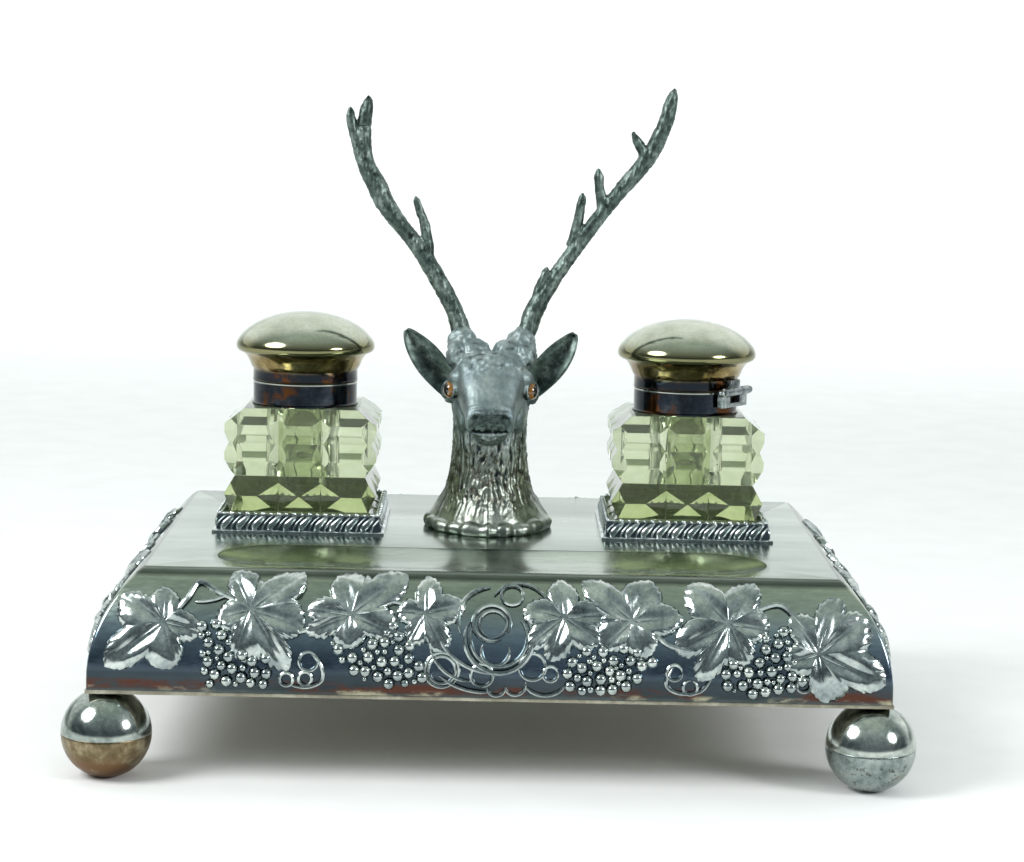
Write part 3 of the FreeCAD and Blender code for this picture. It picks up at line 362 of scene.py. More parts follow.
def object_from(mesh_work, name):
    """A new object from a bmesh drawn in millimetres."""
    mesh = bpy.data.meshes.new(name)
    bmesh.ops.scale(mesh_work, vec=(MM,) * 3, verts=mesh_work.verts)
    mesh_work.to_mesh(mesh)
    mesh_work.free()
    thing = bpy.data.objects.new(name, mesh)
    bpy.context.collection.objects.link(thing)
    return thing


def set_points(mesh, name, values):
    """Give each point of a mesh its value of a named attribute."""
    mesh.attributes.new(name, "FLOAT", "POINT").data.foreach_set("value", values)


def from_lists(name, points, faces, relief_shade=None):
    """A new object from points in millimetres, with an optional painted shade value at each."""
    mesh = bpy.data.meshes.new(name)
    mesh.from_pydata([[c * MM for c in point] for point in points], [], faces)
    if relief_shade is not None:
        set_points(mesh, "relief_shade", relief_shade)
    mesh.update()
    thing = bpy.data.objects.new(name, mesh)
    bpy.context.collection.objects.link(thing)
    return thing


def apply(thing, kind, **settings):
    """Add a modifier and apply it."""
    activate(thing)
    modifier = thing.modifiers.new(kind.title(), kind)
    for name, setting in settings.items():
        setattr(modifier, name, setting)
    bpy.ops.object.modifier_apply(modifier=modifier.name)
    return thing


def tidy_mesh(thing, merge=0.00001, outward=True):
    """Merge doubles and point every face outwards."""
    activate(thing)
    bpy.ops.object.mode_set(mode="EDIT")
    bpy.ops.mesh.select_all(action="SELECT")
    bpy.ops.mesh.remove_doubles(threshold=merge)
    if outward:
        bpy.ops.mesh.normals_make_consistent(inside=False)
    bpy.ops.object.mode_set(mode="OBJECT")
    return thing


def give_finish(thing, finish):
    """Put one finish on a piece or a frame node, and no other."""
    thing.data.materials.clear()
    thing.data.materials.append(materials[finish])


def finish_piece(thing, name, finish, body, replaced=(), angle=None):
    """Name a piece, give it its finish and body, and hide the CAD nodes it stands for."""
    thing.name = name
    thing.data.name = name
    give_finish(thing, finish)
    activate(thing)
    if angle is None:
        bpy.ops.object.shade_smooth()
    else:
        bpy.ops.object.shade_smooth_by_angle(angle=math.radians(angle))
    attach(thing, body)
    if replaced:
        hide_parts(*replaced)
    return thing


def spun(name, profile, steps=96, close=True):
    """A turned piece: the profile, radius and height in millimetres, spun round Z."""
    work = bmesh.new()
    verts = [work.verts.new((radius, 0, height)) for radius, height in profile]
    for first, second in zip(verts, verts[1:]):
        work.edges.new((first, second))
    if close:
        work.edges.new((verts[-1], verts[0]))
    thing = object_from(work, name)
    apply(thing, "SCREW", angle=math.radians(360), steps=steps, render_steps=steps,
          use_merge_vertices=True, merge_threshold=0.00001)
    return tidy_mesh(thing)


def smooth_line(points, per_span=8, closed=False):
    """A Catmull-Rom line through points of any dimension."""
    count = len(points)
    line = []
    spans = count if closed else count - 1
    for span in range(spans):
        if closed:
            p0, p1, p2, p3 = (points[(span + k - 1) % count] for k in range(4))
        else:
            p0, p1, p2, p3 = (points[clamp(span + k - 1, 0, count - 1)] for k in range(4))
        for step in range(per_span):
            t = step / per_span
            line.append(tuple(0.5 * (2 * b + (c - a) * t + (2 * a - 5 * b + 4 * c - d) * t * t
                                     + (3 * b - a - 3 * c + d) * t ** 3)
                              for a, b, c, d in zip(p0, p1, p2, p3)))
    if not closed:
        line.append(tuple(points[-1]))
    return line


def move_mesh(thing, turn=0.0, x=0.0, y=0.0, z=0.0):
    """Turn about Z by degrees and shift by millimetres, in the mesh."""
    shift = Matrix.Translation((x * MM, y * MM, z * MM))
    thing.data.transform(shift @ Matrix.Rotation(math.radians(turn), 4, "Z"))
    return thing


def refined_copy(node, bevel):
    """A copy of a CAD node with its flats made whole and its edges softened."""
    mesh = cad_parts[node].data.copy()
    thing = bpy.data.objects.new(node + "_copy", mesh)
    bpy.context.collection.objects.link(thing)
    tidy_mesh(thing, outward=False)
    bpy.ops.object.mode_set(mode="EDIT")
    bpy.ops.mesh.select_all(action="SELECT")
    bpy.ops.mesh.dissolve_limited(angle_limit=math.radians(0.6))
    bpy.ops.object.mode_set(mode="OBJECT")
    return apply(thing, "BEVEL", width=bevel * MM, segments=2, limit_method="ANGLE",
                 angle_limit=math.radians(28), use_clamp_overlap=True)


def joined(things, name):
    """Join objects into one."""
    deselect()
    for thing in things:
        thing.select_set(True)
    bpy.context.view_layer.objects.active = things[0]
    bpy.ops.object.join()
    things[0].name = name
    return things[0]


# ---------------------------------------------------------------- platform

def skirt_place(across, along, out, turn):
    """A point on a skirt: across its length, up its curve and out from it, for a side's turn."""
    half_y = PLATE[1] if turn % 180 == 0 else PLATE[0]
    straight = BOW_CENTRE - SKIRT_BOTTOM
    if along <= straight:
        over, height = OVERHANG + out, SKIRT_BOTTOM + along
    else:
        angle = (along - straight) / BOW
        over = OVERHANG - BOW + (BOW + out) * math.cos(angle)
        height = BOW_CENTRE + (BOW + out) * math.sin(angle)
    return *quarter_turned(across, -(half_y + over), turn // 90), height


def loop_round(half_x, half_y, height, corner):
    """A rectangle with small round corners, as points."""
    points = []
    for index, (sx, sy) in enumerate(((1, -1), (1, 1), (-1, 1), (-1, -1))):
        for step in range(4):
            angle = math.radians(-90 + 90 * index + 30 * step)
            points.append((sx * (half_x - corner) + corner * math.cos(angle),
                           sy * (half_y - corner) + corner * math.sin(angle), height))
    return points


def tray_loop(inset, height, count=96):
    """The pen tray's outline drawn in by inset: two straight sides and two half circles."""
    half, radius, middle = TRAY_HALF_RUN, TRAY_HALF_WIDTH - inset, TRAY_Y
    points = []
    for step in range(count):
        t = step / count * 4
        if t < 1:
            points.append((-half + 2 * half * t, middle - radius, height))
        elif t < 2:
            angle = math.radians(-90 + 180 * (t - 1))
            points.append((half + radius * math.cos(angle), middle + radius * math.sin(angle),
                           height))
        elif t < 3:
            points.append((half - 2 * half * (t - 2), middle + radius, height))
        else:
            angle = math.radians(90 + 180 * (t - 3))
            points.append((-half + radius * math.cos(angle), middle + radius * math.sin(angle),
                           height))
    return points


def build_platform():
    """The pressed sheet platform: bowed skirts, a soft top edge and the pen tray."""
    work = bmesh.new()
    rings = []
    straight = BOW_CENTRE - SKIRT_BOTTOM
    arc = BOW * math.asin((PLATE_TOP - BOW_CENTRE) / BOW)
    ups = [0, straight] + [straight + (arc - 0.7) * i / 14 for i in range(1, 15)]
    rise = work.verts.layers.float.new("rise")
    for along in ups:
        _, y, height = skirt_place(0, along, 0, 0)
        over = -y - PLATE[1]
        rings.append(loop_round(PLATE[0] + over, PLATE[1] + over, height, CORNER))
    for inset, drop in ((0.12, 0.16), (0.6, 0.0)):
        rings.append(loop_round(PLATE[0] - inset, PLATE[1] - inset, PLATE_TOP - drop, CORNER))
    ring_verts = [[work.verts.new(point) for point in ring] for ring in rings]
    # rise climbs the skirt to the plate, and the platform finish paints reflection and shade along
    # it.
    for along, ring in zip(ups + [arc + 1.5, arc + 4], ring_verts):
        for vert in ring:
            vert[rise] = min(0.9 * along / arc, 1)
    tray = []
    for inset, drop in ((-TRAY_ROLL, 0.0), (0.0, 0.06), (TRAY_ROLL, TRAY_ROLL_DROP)):
        tray.append(tray_loop(inset, PLATE_TOP - drop))
    # Loops from the rolled edge almost to the middle line, where the trough is deepest.
    trough = TRAY_HALF_WIDTH - TRAY_ROLL
    for step in range(1, 12):
        inset = TRAY_ROLL + (trough - 0.2) * step / 11
        curve = 1 - ((TRAY_HALF_WIDTH - inset) / trough) ** 2
        depth = TRAY_ROLL_DROP + (TRAY_DEPTH - TRAY_ROLL_DROP) * curve
        tray.append(tray_loop(inset, PLATE_TOP - depth))
    tray_verts = [[work.verts.new(point) for point in ring] for ring in tray]
    for index, ring in enumerate(tray_verts):
        for vert in ring:
            # The second loop is the tray's edge, where a dark line of painted shade runs.
            vert[rise] = 0.95 if index == 1 else 1
    for loops in (ring_verts, tray_verts):
        for lower, upper in zip(loops, loops[1:]):
            count = len(lower)
            for i in range(count):
                work.faces.new((lower[i], lower[(i + 1) % count], upper[(i + 1) % count],
                                upper[i]))
    work.faces.new(tray_verts[-1])
    edges = []
    for ring in (ring_verts[-1], tray_verts[0]):
        for i, vert in enumerate(ring):
            edges.append(work.edges.get((vert, ring[(i + 1) % len(ring)])))
    bmesh.ops.triangle_fill(work, use_beauty=True, use_dissolve=False, edges=edges)
    bmesh.ops.recalc_face_normals(work, faces=work.faces)
    if max(work.faces, key=lambda face: face.calc_center_median().z).normal.z < 0:
        bmesh.ops.reverse_faces(work, faces=work.faces)
    thing = object_from(work, "platform")
    apply(thing, "SOLIDIFY", thickness=SHEET * MM, offset=-1)
    return finish_piece(thing, "platform", "platform", "stand",
                        ("platform_shell",), 35)


# ---------------------------------------------------------------- vine borders

class Relief:
    """Collects border parts drawn flat as (across, along, out) for one side."""

    def __init__(self, turn):
        self.turn = turn
        self.points = []
        self.faces = []
        self.relief_shade = []

    def vert(self, across, along, out, shade=None):
        """Add a point on or off the skirt and return its number; shade is its relief value."""
        self.points.append(skirt_place(across, max(along, 0.05), out, self.turn))
        # Painted shade: when shade is left out, points nearer the skirt are painted darker.
        self.relief_shade.append(clamp((out - 0.1) / 1.3) if shade is None else shade)
        return len(self.points) - 1

    def grid(self, rows, closed=True):
        """Join rows of vertex numbers with quads."""
        for lower, upper in zip(rows, rows[1:]):
            count = len(lower)
            for i in range(count if closed else count - 1):
                j = (i + 1) % count
                self.faces.append((lower[i], lower[j], upper[j], upper[i]))

    def tube(self, line, radius, lift=0.35, sides=7, taper=True):
        """A raised cord along a line of (across, along) points."""
        rows = []
        count = len(line)
        for index, (across, along) in enumerate(line):
            ahead = line[min(index + 1, count - 1)]
            behind = line[max(index - 1, 0)]
            dx, dy = ahead[0] - behind[0], ahead[1] - behind[1]
            length = math.hypot(dx, dy) or 1
            nx, ny = -dy / length, dx / length
            size = radius
            if taper:
                size *= min(1, 0.35 + 4 * min(index, count - 1 - index) / count)
            row = []
            for side in range(sides):
                angle = 2 * math.pi * side / sides
                reach = size * math.cos(angle)
                out = lift + size * math.sin(angle)
                row.append(self.vert(across + nx * reach, along + ny * reach, out))
            rows.append(row)
        self.grid(rows)
        self.faces.append(tuple(reversed(rows[0])))
        self.faces.append(tuple(rows[-1]))

    def berry(self, across, along, radius, lift):
        """One grape: the upper part of a ball."""
        rows = []
        for level, (wide, high) in enumerate(((1.0, -0.35), (0.97, 0.22), (0.72, 0.7),
                                              (0.3, 0.955))):
            row = []
            for side in range(9):
                angle = 2 * math.pi * (side + level * 0.5) / 9
                # Painted shade: the grape's lowest ring is painted dark.
                row.append(self.vert(across + radius * wide * math.cos(angle),
                                     along + radius * wide * math.sin(angle),
                                     lift + radius * high, 0.15 if level == 0 else None))
            rows.append(row)
        self.grid(rows)
        self.faces.append(tuple(rows[-1]))

    def leaf(self, centre, tips, seed, lift=0.0):
        """A toothed vine leaf with a vein to each tip, raised off the skirt."""
        rng = random.Random(seed)
        cx, cy = centre
        tips = sorted(tips, key=lambda tip: math.atan2(tip[1] - cy, tip[0] - cx))
        outline = []
        for first, second in zip(tips, tips[1:] + tips[:1]):
            # The bay between two tips lies part of the way from the leaf's middle to their chord.
            depth = rng.uniform(0.74, 0.9)
            bay = (cx + ((first[0] + second[0]) / 2 - cx) * depth,
                   cy + ((first[1] + second[1]) / 2 - cy) * depth)
            for start, end, way in ((first, bay, 1), (bay, second, -1)):
                length = math.hypot(end[0] - start[0], end[1] - start[1])
                teeth = max(2, round(length / 1.9))
                nx, ny = (end[1] - start[1]) / length, -(end[0] - start[0]) / length
                for step in range(14):
                    t = step / 14
                    out = 0.17 * length * math.sin(math.pi * t) ** 0.8
                    tooth = (t * teeth) % 1 if way > 0 else 1 - (t * teeth) % 1
                    out += 0.55 * (tooth - 0.5) * min(1, 5 * min(t, 1 - t))
                    outline.append((start[0] + (end[0] - start[0]) * t + nx * out,
                                    start[1] + (end[1] - start[1]) * t + ny * out))
        phases = [rng.uniform(0, 6.28) for _ in tips]
        tilts = [rng.choice((-1, 1)) * rng.uniform(0.3, 0.75) for _ in tips]
        levels = 15
        rows = []
        for level in range(1, levels + 1):
            part = (level / levels) ** 0.8
            row = []
            for x, y in outline:
                px, py = (x - cx) * part, (y - cy) * part
                off, along, side, lobe = 99, 0, 0, 0
                for index, tip in enumerate(tips):
                    tx, ty = tip[0] - cx, tip[1] - cy
                    length = math.hypot(tx, ty)
                    run = (px * tx + py * ty) / length
                    across = (px * ty - py * tx) / length
                    reach = abs(across) if run > 0 else math.hypot(px, py)
                    if reach < off:
                        off, along, side, lobe = reach, run / length, across, index
                valley = 1 - math.exp(-(off / 2.4) ** 2)
                vein = 0.3 * math.exp(-(off / 0.3) ** 2) * (1 - 0.6 * along)
                crumple = 0.16 * math.sin(along * 16 + off * 0.9 + phases[lobe]) * part ** 3
                frill = 0.3 * math.sin(along * 24 - off * 2 + phases[lobe]) * max(
                    0, (part - 0.8) / 0.2) ** 1.5
                roll = 0.5 * max(0, (part - 0.86) / 0.14) ** 2
                out = (lift + 0.9 + 1.0 * valley * math.sin(math.pi * part ** 1.2) + vein
                       + crumple + frill - roll + 0.7 * part * (1 - part) * 2
                       + tilts[lobe] * math.tanh(side / 2.5) * part)
                # Painted shade: the leaf is painted lighter where it stands further off the skirt.
                row.append(self.vert(cx + px, cy + py, out,
                                     min(1, 0.5 + 0.35 * (out - lift - 0.6))))
            rows.append(row)
        # The edge turns down into the skirt, painted fully dark as a painted shadow under the leaf.
        rows.append([self.vert(x, y, -0.3, 0.0) for x, y in outline])
        hub = self.vert(cx, cy, lift + 1.15, 0.7)
        self.grid(rows)
        for first, second in zip(rows[0], rows[0][1:] + rows[0][:1]):
            self.faces.append((hub, first, second))

    def cluster(self, outline, seed):
        """Grapes of mixed sizes thrown into a polygon so that they just touch."""
        rng = random.Random(seed)
        xs = [p[0] for p in outline]
        ys = [p[1] for p in outline]
        mid_x, mid_y = sum(xs) / len(xs), sum(ys) / len(ys)
        placed = []
        for radius in (2.1, 1.85, 1.6, 1.35, 1.1, 0.9):
            for _ in range(700):
                x, y = rng.uniform(min(xs), max(xs)), rng.uniform(min(ys), max(ys))
                if inside(x, y, outline) and all(
                        math.hypot(x - px, y - py) > 0.88 * (radius + pr)
                        for px, py, pr in placed):
                    placed.append((x, y, radius))
        for x, y, radius in placed:
            heap = 0.9 * max(0, 1 - math.hypot(x - mid_x, y - mid_y) / 12)
            self.berry(x, y, radius, rng.uniform(0.0, 0.5) + heap)

    def build(self, name, replaced):
        """Make the collected parts one piece."""
        thing = from_lists(name, self.points, self.faces, self.relief_shade)
        activate(thing)
        bpy.ops.object.mode_set(mode="EDIT")
        bpy.ops.mesh.select_all(action="SELECT")
        bpy.ops.mesh.normals_make_consistent(inside=False)
        bpy.ops.object.mode_set(mode="OBJECT")
        return finish_piece(thing, name, "border", "stand", (replaced,), 50)


def inside(x, y, outline):
    """True if a point lies inside a polygon."""
    hit = False
    for (x1, y1), (x2, y2) in zip(outline, outline[1:] + outline[:1]):
        if (y1 > y) != (y2 > y) and x < (x2 - x1) * (y - y1) / (y2 - y1) + x1:
            hit = not hit
    return hit


def arc_line(across, along, radius, start, end, steps=None):
    """Points on an arc, angles in degrees."""
    steps = steps or max(8, int(abs(end - start) / 12))
    return [(across + radius * math.cos(math.radians(start + (end - start) * i / steps)),
             along + radius * math.sin(math.radians(start + (end - start) * i / steps)))
            for i in range(steps + 1)]


# Leaves of the long borders: centre, then tips, as distance along and up the skirt.
LONG_LEAVES = [
    ((-108, 23), [(-122, 32.5), (-107.5, 35.5), (-95.5, 20.5), (-104, 8), (-127, 8)]),
    ((-79.5, 27.5), [(-86, 41.5), (-62.5, 42), (-62, 22), (-66.5, 8), (-84, 11.5), (-91, 24)]),
    ((-46.5, 26.5), [(-50.5, 41.5), (-28, 41.5), (-32, 20), (-47, 15), (-61, 20), (-61, 28)]),
    ((-22, 27.5), [(-21.5, 41.5), (-8.5, 30.5), (-15.5, 14.5), (-27, 17.5), (-31.5, 28)]),
    ((24, 27), [(23, 41.5), (38, 28), (36, 18.5), (19.5, 12.5), (12, 17), (10.5, 30)]),
    ((46.5, 26), [(30, 40.5), (53, 41), (63.5, 27.5), (50, 13.5), (37, 17)]),
    ((78.5, 26), [(65, 40), (87.5, 41), (92, 24), (84.5, 12.5), (68.5, 7), (61, 16.5)]),
    ((108, 16.5), [(114, 36.5), (124, 29), (130.5, 7), (110.5, 0.7), (97, 13.5), (99, 29)]),
]
LONG_GRAPES = [
    [(-96, 24), (-88, 22), (-85, 13), (-73, 12), (-73, 3), (-94, 3)],
    [(-53, 18), (-46, 13), (-38, 18), (-32, 24), (-25, 15), (-22, 5), (-36, 3.5), (-46, 7)],
    [(23.5, 3), (26, 12), (33, 18), (40, 16), (44, 18), (54, 13.5), (49, 7), (42, 3)],
    [(78, 14), (76, 5), (84, 3), (97, 3.5), (104, 6), (100, 14), (97, 24), (90, 21), (86, 11)]]
LONG_RINGS = [(-60, 11, 3, 30, 420), (-67.2, 5, 2.1, 0, 360), (-61, 5.4, 2.1, -90, 300),
              (-16, 9, 5.6, -60, 330), (-16, 9, 4.4, 0, 360), (-2.8, 7.6, 3.6, 0, 360),
              (13.8, 10.6, 4.3, 0, 360), (19.8, 8.4, 2.4, 0, 400), (60.7, 9.6, 2.5, 0, 380),
              (66, 4.8, 2.3, 90, 430), (103.5, 6.4, 2.3, 0, 360), (6.8, 34.8, 3.6, 0, 360)]
LONG_CORDS = [
    # The scroll in the middle: three strands that wind in from the left, and its tails.
    (arc_line(0.2, 24.8, 6.2, 300, -30), 0.75), (arc_line(0.6, 24.4, 4.6, 250, -90), 0.6),
    (arc_line(2.6, 19.6, 11.2, 150, 395), 0.95), (arc_line(2.6, 19.8, 9.4, 160, 400), 0.75),
    (arc_line(0.5, 26, 11.6, 95, 205), 0.8), (arc_line(9.2, 29.6, 9.6, 20, 150), 0.7),
    (arc_line(1.5, 15.4, 4.6, 150, 380), 0.7),
    (arc_line(-6, 20, 14.5, 196, 268), 0.75), (arc_line(-2, 26, 24, 232, 275), 0.7),
    (arc_line(2, 3.8, 3.0, 180, 360), 0.6), (arc_line(8.2, 4.6, 3.4, 190, 380), 0.6),
    (arc_line(18, 9.6, 8.4, 215, 325), 0.7),
    # Stems from leaf to leaf.
    ([(-108, 22), (-101, 31), (-97, 37.5), (-90, 33.5), (-84, 30.5), (-79.8, 26.5)], 1.0),
    ([(-98, 30), (-92, 31), (-86, 33), (-82, 30)], 0.7),
    ([(-79.8, 26.5), (-70, 21), (-62, 21), (-55, 24), (-46.8, 25.5)], 0.9),
    ([(-46.8, 25.5), (-38, 31), (-30, 31), (-21.5, 27)], 0.8),
    ([(-21.5, 27), (-15, 16), (-8, 10.5), (0, 8.5), (8, 9.5)], 0.8),
    ([(21.6, 26), (15, 20), (12, 15)], 0.8),
    ([(21.6, 26), (30, 30), (40, 30), (51, 25.5)], 0.8),
    ([(51, 25.5), (58, 19), (66, 17), (72, 20), (78.2, 25.5)], 0.9),
    ([(78.2, 25.5), (88, 31), (96, 33), (102, 27), (108, 17.5)], 1.0),
    ([(60.5, 12), (58, 6), (62, 3), (69, 3.5), (73, 8)], 0.7),
    ([(-66, 3), (-60, 2.6), (-55.5, 5), (-56, 10), (-60, 14.5)], 0.7),
]


def plain_leaf(across, along, size, turn):
    """Centre and five tips of an even leaf, kept on the skirt."""
    tips = []
    for part, reach in ((0, 1.0), (68, 0.84), (140, 0.62), (-68, 0.84), (-140, 0.62)):
        angle = math.radians(turn + part)
        tips.append((across + size * reach * math.cos(angle),
                     clamp(along + size * reach * math.sin(angle), 1, 41.3)))
    return (across, along), tips


SHORT_LEAVES = [plain_leaf(*leaf) for leaf in (
    (-76, 21, 16, 215), (-51, 27, 16, 75), (-19, 26, 15, 105), (16, 26, 15, 60),
    (48, 27, 16, 100), (76, 20, 16, -35))]
SHORT_GRAPES = [[(x - 9, 17), (x + 8, 16), (x + 9, 8), (x + 3, 3), (x - 6, 3), (x - 10, 8)]
                for x in (-63, -33, 32, 62)]
SHORT_RINGS = [(-1.5, 20, 5.6, 0, 330), (-1.5, 20, 3.6, 0, 360), (-8, 7, 3.6, 0, 360),
               (5, 7.4, 4.2, 0, 360), (14, 6, 2.4, 0, 360), (-17, 6, 2.4, 0, 360)]
SHORT_CORDS = [
    ([(-76, 21), (-68, 31), (-60, 32), (-51, 27)], 1.0),
    ([(-51, 27), (-42, 20), (-32, 20), (-19, 26)], 0.9),
    ([(-19, 26), (-12, 14), (-4, 9), (4, 10), (12, 16), (16, 26)], 0.8),
    ([(16, 26), (26, 33), (38, 33), (48, 27)], 0.9),
    ([(48, 27), (58, 20), (66, 19), (76, 20)], 1.0),
    (arc_line(0, 24, 10, 120, 400), 0.9), (arc_line(0, 24, 8.4, 130, 410), 0.7)]


def build_border(side, turn):
    """One skirt's vine border."""
    long_side = turn % 180 == 0
    leaves = LONG_LEAVES if long_side else SHORT_LEAVES
    border = Relief(turn)
    for line, radius in (LONG_CORDS if long_side else SHORT_CORDS):
        shown = line if len(line) > 9 else smooth_line(line, 7)
        border.tube(shown, radius, lift=0.45)
    for across, along, radius, start, end in (LONG_RINGS if long_side else SHORT_RINGS):
        border.tube(arc_line(across, along, radius, start, end), 0.62, lift=0.5,
                    taper=abs(end - start) != 360)
    for index, outline in enumerate(LONG_GRAPES if long_side else SHORT_GRAPES):
        border.cluster(outline, 40 + index + turn)
    for index, (centre, tips) in enumerate(leaves):
        border.leaf(centre, tips, 7 + index + turn, lift=0.12 * (index % 3))
    return border.build(f"vine_relief_{side}", f"vine_border_{side}")


# ---------------------------------------------------------------- galleries

# A gallery's section as half width, height and relief value (painted shade, lowest on the
# wall behind the lobes), from the plinth's foot round the wall and rail to the inside.
GALLERY_SECTION = [
    (30.85, 0, 0.5), (30.85, 0.75, 0.8), (30.55, 1.05, 0.9), (29.7, 1.15, 0.6),
    (29.3, 1.35, 0.1), (28.75, 6.1, 0.1), (29.1, 6.35, 0.5), (29.1, 6.85, 0.9),
    (28.8, GALLERY_RISE, 0.9), (27.85, GALLERY_RISE, 0.9), (27.65, 6.8, 0.7), (27.65, 1.4, 0.2)]
LOBE_PITCH = 5.6
LOBE_LEAN = 3.6
LOBE_REACH = 29.25
LOBE_BOTTOM = 1.2
LOBE_RISE = 5.0
# Wide lobes with a narrow rib between each two: count, first place, width, depth and sink.
LOBES = ((10, -4.5 * LOBE_PITCH, 3.9, 1.15, 0.0), (11, -5.0 * LOBE_PITCH + 0.15, 1.3, 0.85, 0.1))
BEADS_A_SIDE = 20
BEAD_LINE = 28.75
BEAD_HEIGHT = 6.75
BEAD_RADII = (0.68, 0.95)


def build_gallery(tag):
    """A cast gallery: plinth, leaning wall, slanted lobes and a beaded rail."""
    points, faces, relief_shade = [], [], []

    def ring(half, height, shade):
        start = len(points)
        for sx, sy in ((-1, -1), (1, -1), (1, 1), (-1, 1)):
            points.append((sx * half, sy * half, height))
            relief_shade.append(shade)
        return [start, start + 1, start + 2, start + 3]

    rings = [ring(*row) for row in GALLERY_SECTION]
    for lower, upper in zip(rings, rings[1:]):
        for i in range(4):
            j = (i + 1) % 4
            faces.append((lower[i], lower[j], upper[j], upper[i]))
    faces.append(tuple(rings[-1]))
    faces.append(tuple(reversed(rings[0])))

    def strip(side, count, start, wide, rise, deep):
        """Slanted lobes along one side."""
        for index in range(count):
            along = start + index * LOBE_PITCH
            rows = []
            for level in range(9):
                t = level / 8
                height = LOBE_BOTTOM + LOBE_RISE * t
                swell = max(math.sin(math.pi * (0.06 + 0.88 * t)), 0.1) ** 0.5
                shift = LOBE_LEAN * (t ** 1.6 - 0.5)
                row = []
                for step in range(7):
                    across = (step / 6 - 0.5) * 2
                    crown = swell * math.sqrt(max(1 - across ** 2, 0))
                    out = LOBE_REACH - 0.5 * t + rise * crown
                    place = clamp(along + shift + across * wide * swell / 2, -29, 29)
                    points.append((*quarter_turned(place, -out - deep, side), height))
                    # Painted shade: the lobe's sides are painted darker than its crown.
                    relief_shade.append(0.15 + 0.85 * crown)
                    row.append(len(points) - 1)
                rows.append(row)
            for lower, upper in zip(rows, rows[1:]):
                for i in range(6):
                    faces.append((lower[i], lower[i + 1], upper[i + 1], upper[i]))

    def bead(x, y, z, radius):
        """One bead of the rail, open below."""
        rows = []
        for wide, high in ((0.9, -0.4), (1.0, 0.1), (0.8, 0.62), (0.35, 0.94)):
            row = []
            for step in range(8):
                angle = math.pi * step / 4
                points.append((x + radius * wide * math.cos(angle),
                               y + radius * wide * math.sin(angle), z + radius * high))
                # Painted shade: the bead's lower half is painted darker than its upper half.
                relief_shade.append(0.3 + 0.6 * (high > 0))
                row.append(len(points) - 1)
            rows.append(row)
        for lower, upper in zip(rows, rows[1:]):
            for i in range(8):
                faces.append((lower[i], lower[(i + 1) % 8], upper[(i + 1) % 8], upper[i]))
        faces.append(tuple(rows[-1]))

    for side in range(4):
        for lobes in LOBES:
            strip(side, *lobes)
        for index in range(BEADS_A_SIDE):
            along = (index - (BEADS_A_SIDE - 1) / 2) * LOBE_PITCH / 2
            bead(*quarter_turned(along, -BEAD_LINE, side), BEAD_HEIGHT, BEAD_RADII[index % 2])
    thing = from_lists("gallery", points, faces, relief_shade)
    move_mesh(thing, 0, SIDES[tag] * GALLERY[0], GALLERY[1], PLATE_TOP)
    return finish_piece(thing, f"gallery_cast_{tag}", "gallery", "stand",
                        (f"gallery_{tag}",), 40)


# ---------------------------------------------------------------- inkwells

# Turned sections as radius and height above the platform's top.
LID_TOP = [(0, 77.6), (4, 77.42), (8, 76.9), (12, 75.95), (15.5, 74.7), (18.6, 73.1),
           (21.2, 71.3), (23.1, 69.5), (24.4, 67.9), (25.15, 66.5), (25.4, 65.3), (25.2, 64.2),
           (24.6, 63.4), (23.7, 62.95), (23.0, 63.3), (23.4, 65.2), (22.6, 67.6), (20.4, 69.9),
           (16.6, 72.3), (12.5, 74.2), (8, 75.4), (4, 76.0), (0, 76.2)]
LID_FLARE = [(23.6, 63.2), (22.5, 62.4), (21.5, 61.3), (20.7, 59.9), (20.1, 58.4), (19.6, 57.3),
             (19.25, 56.9), (19.1, 56.6), (19.1, 53.2), (19.25, 53.0), (19.25, 52.85),
             (18.1, 52.85), (18.1, 56.8), (19.1, 59.2), (20.4, 61.6), (21.9, 63.1), (23.2, 63.7)]
COLLAR = [(17.9, 44.0), (19.45, 44.0), (19.45, 44.45), (19.0, 44.75), (19.0, 51.7),
          (19.2, 51.95), (19.2, 52.35), (19.0, 52.5), (13.9, 52.5), (13.9, 51.6), (17.9, 51.6)]


def build_inkwell(tag):
    """One bottle with its collar, lid and hinge."""
    centre = (SIDES[tag] * GALLERY[0], GALLERY[1], PLATE_TOP)
    turn = HINGE_TURN[tag]
    well, lid = f"inkwell_{tag}", f"lid_{tag}"
    glass = refined_copy(f"bottle_{tag}", 0.22)
    finish_piece(glass, f"cut_bottle_{tag}", "glass", well, (f"bottle_{tag}",), 12)
    for profile, name, finish, body, slot, node in (
            (LID_TOP, "lid_top", "dome", lid, "silver_plate", "lid_dome"),
            (LID_FLARE, "lid_flare", "flare", lid, "silver_plate", "lid_skirt"),
            (COLLAR, "neck_collar", "collar", well, "brass_fittings", "collar")):
        piece = spun(name, profile, 128)
        move_mesh(piece, turn, *centre)
        finish_piece(piece, f"{name}_{tag}", finish, body, (f"{node}_{tag}",), 32)
    for node, body in (("collar_leaf", well), ("lid_leaf", lid), ("hinge_pin", well)):
        piece = refined_copy(f"{node}_{tag}", 0.12)
        finish_piece(piece, f"{node}_fine_{tag}", "hinge", body,
                     (f"{node}_{tag}",), 35)
    for node, finish in (("collar_cement", "cement"), ("lid_liner", "collar")):
        give_finish(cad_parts[f"{node}_{tag}"], finish)


# ---------------------------------------------------------------- feet and base

FOOT_X, FOOT_Y = (abs(c) for c in node_middle("foot_rear_right_upper")[:2])
FOOT_RADIUS = 15.1
FOOT_MIDDLE = 14.8
FOOT_TOP = node_box("foot_rear_right_upper")[1][2]
FOOT_INNER = 13.7
STUD_HOLE = 2.15
# The seam's groove: how far it cuts in, and half its width.
SEAM_DEPTH = 0.1
SEAM_HALF = 0.16
SEAM_ANGLE = 4


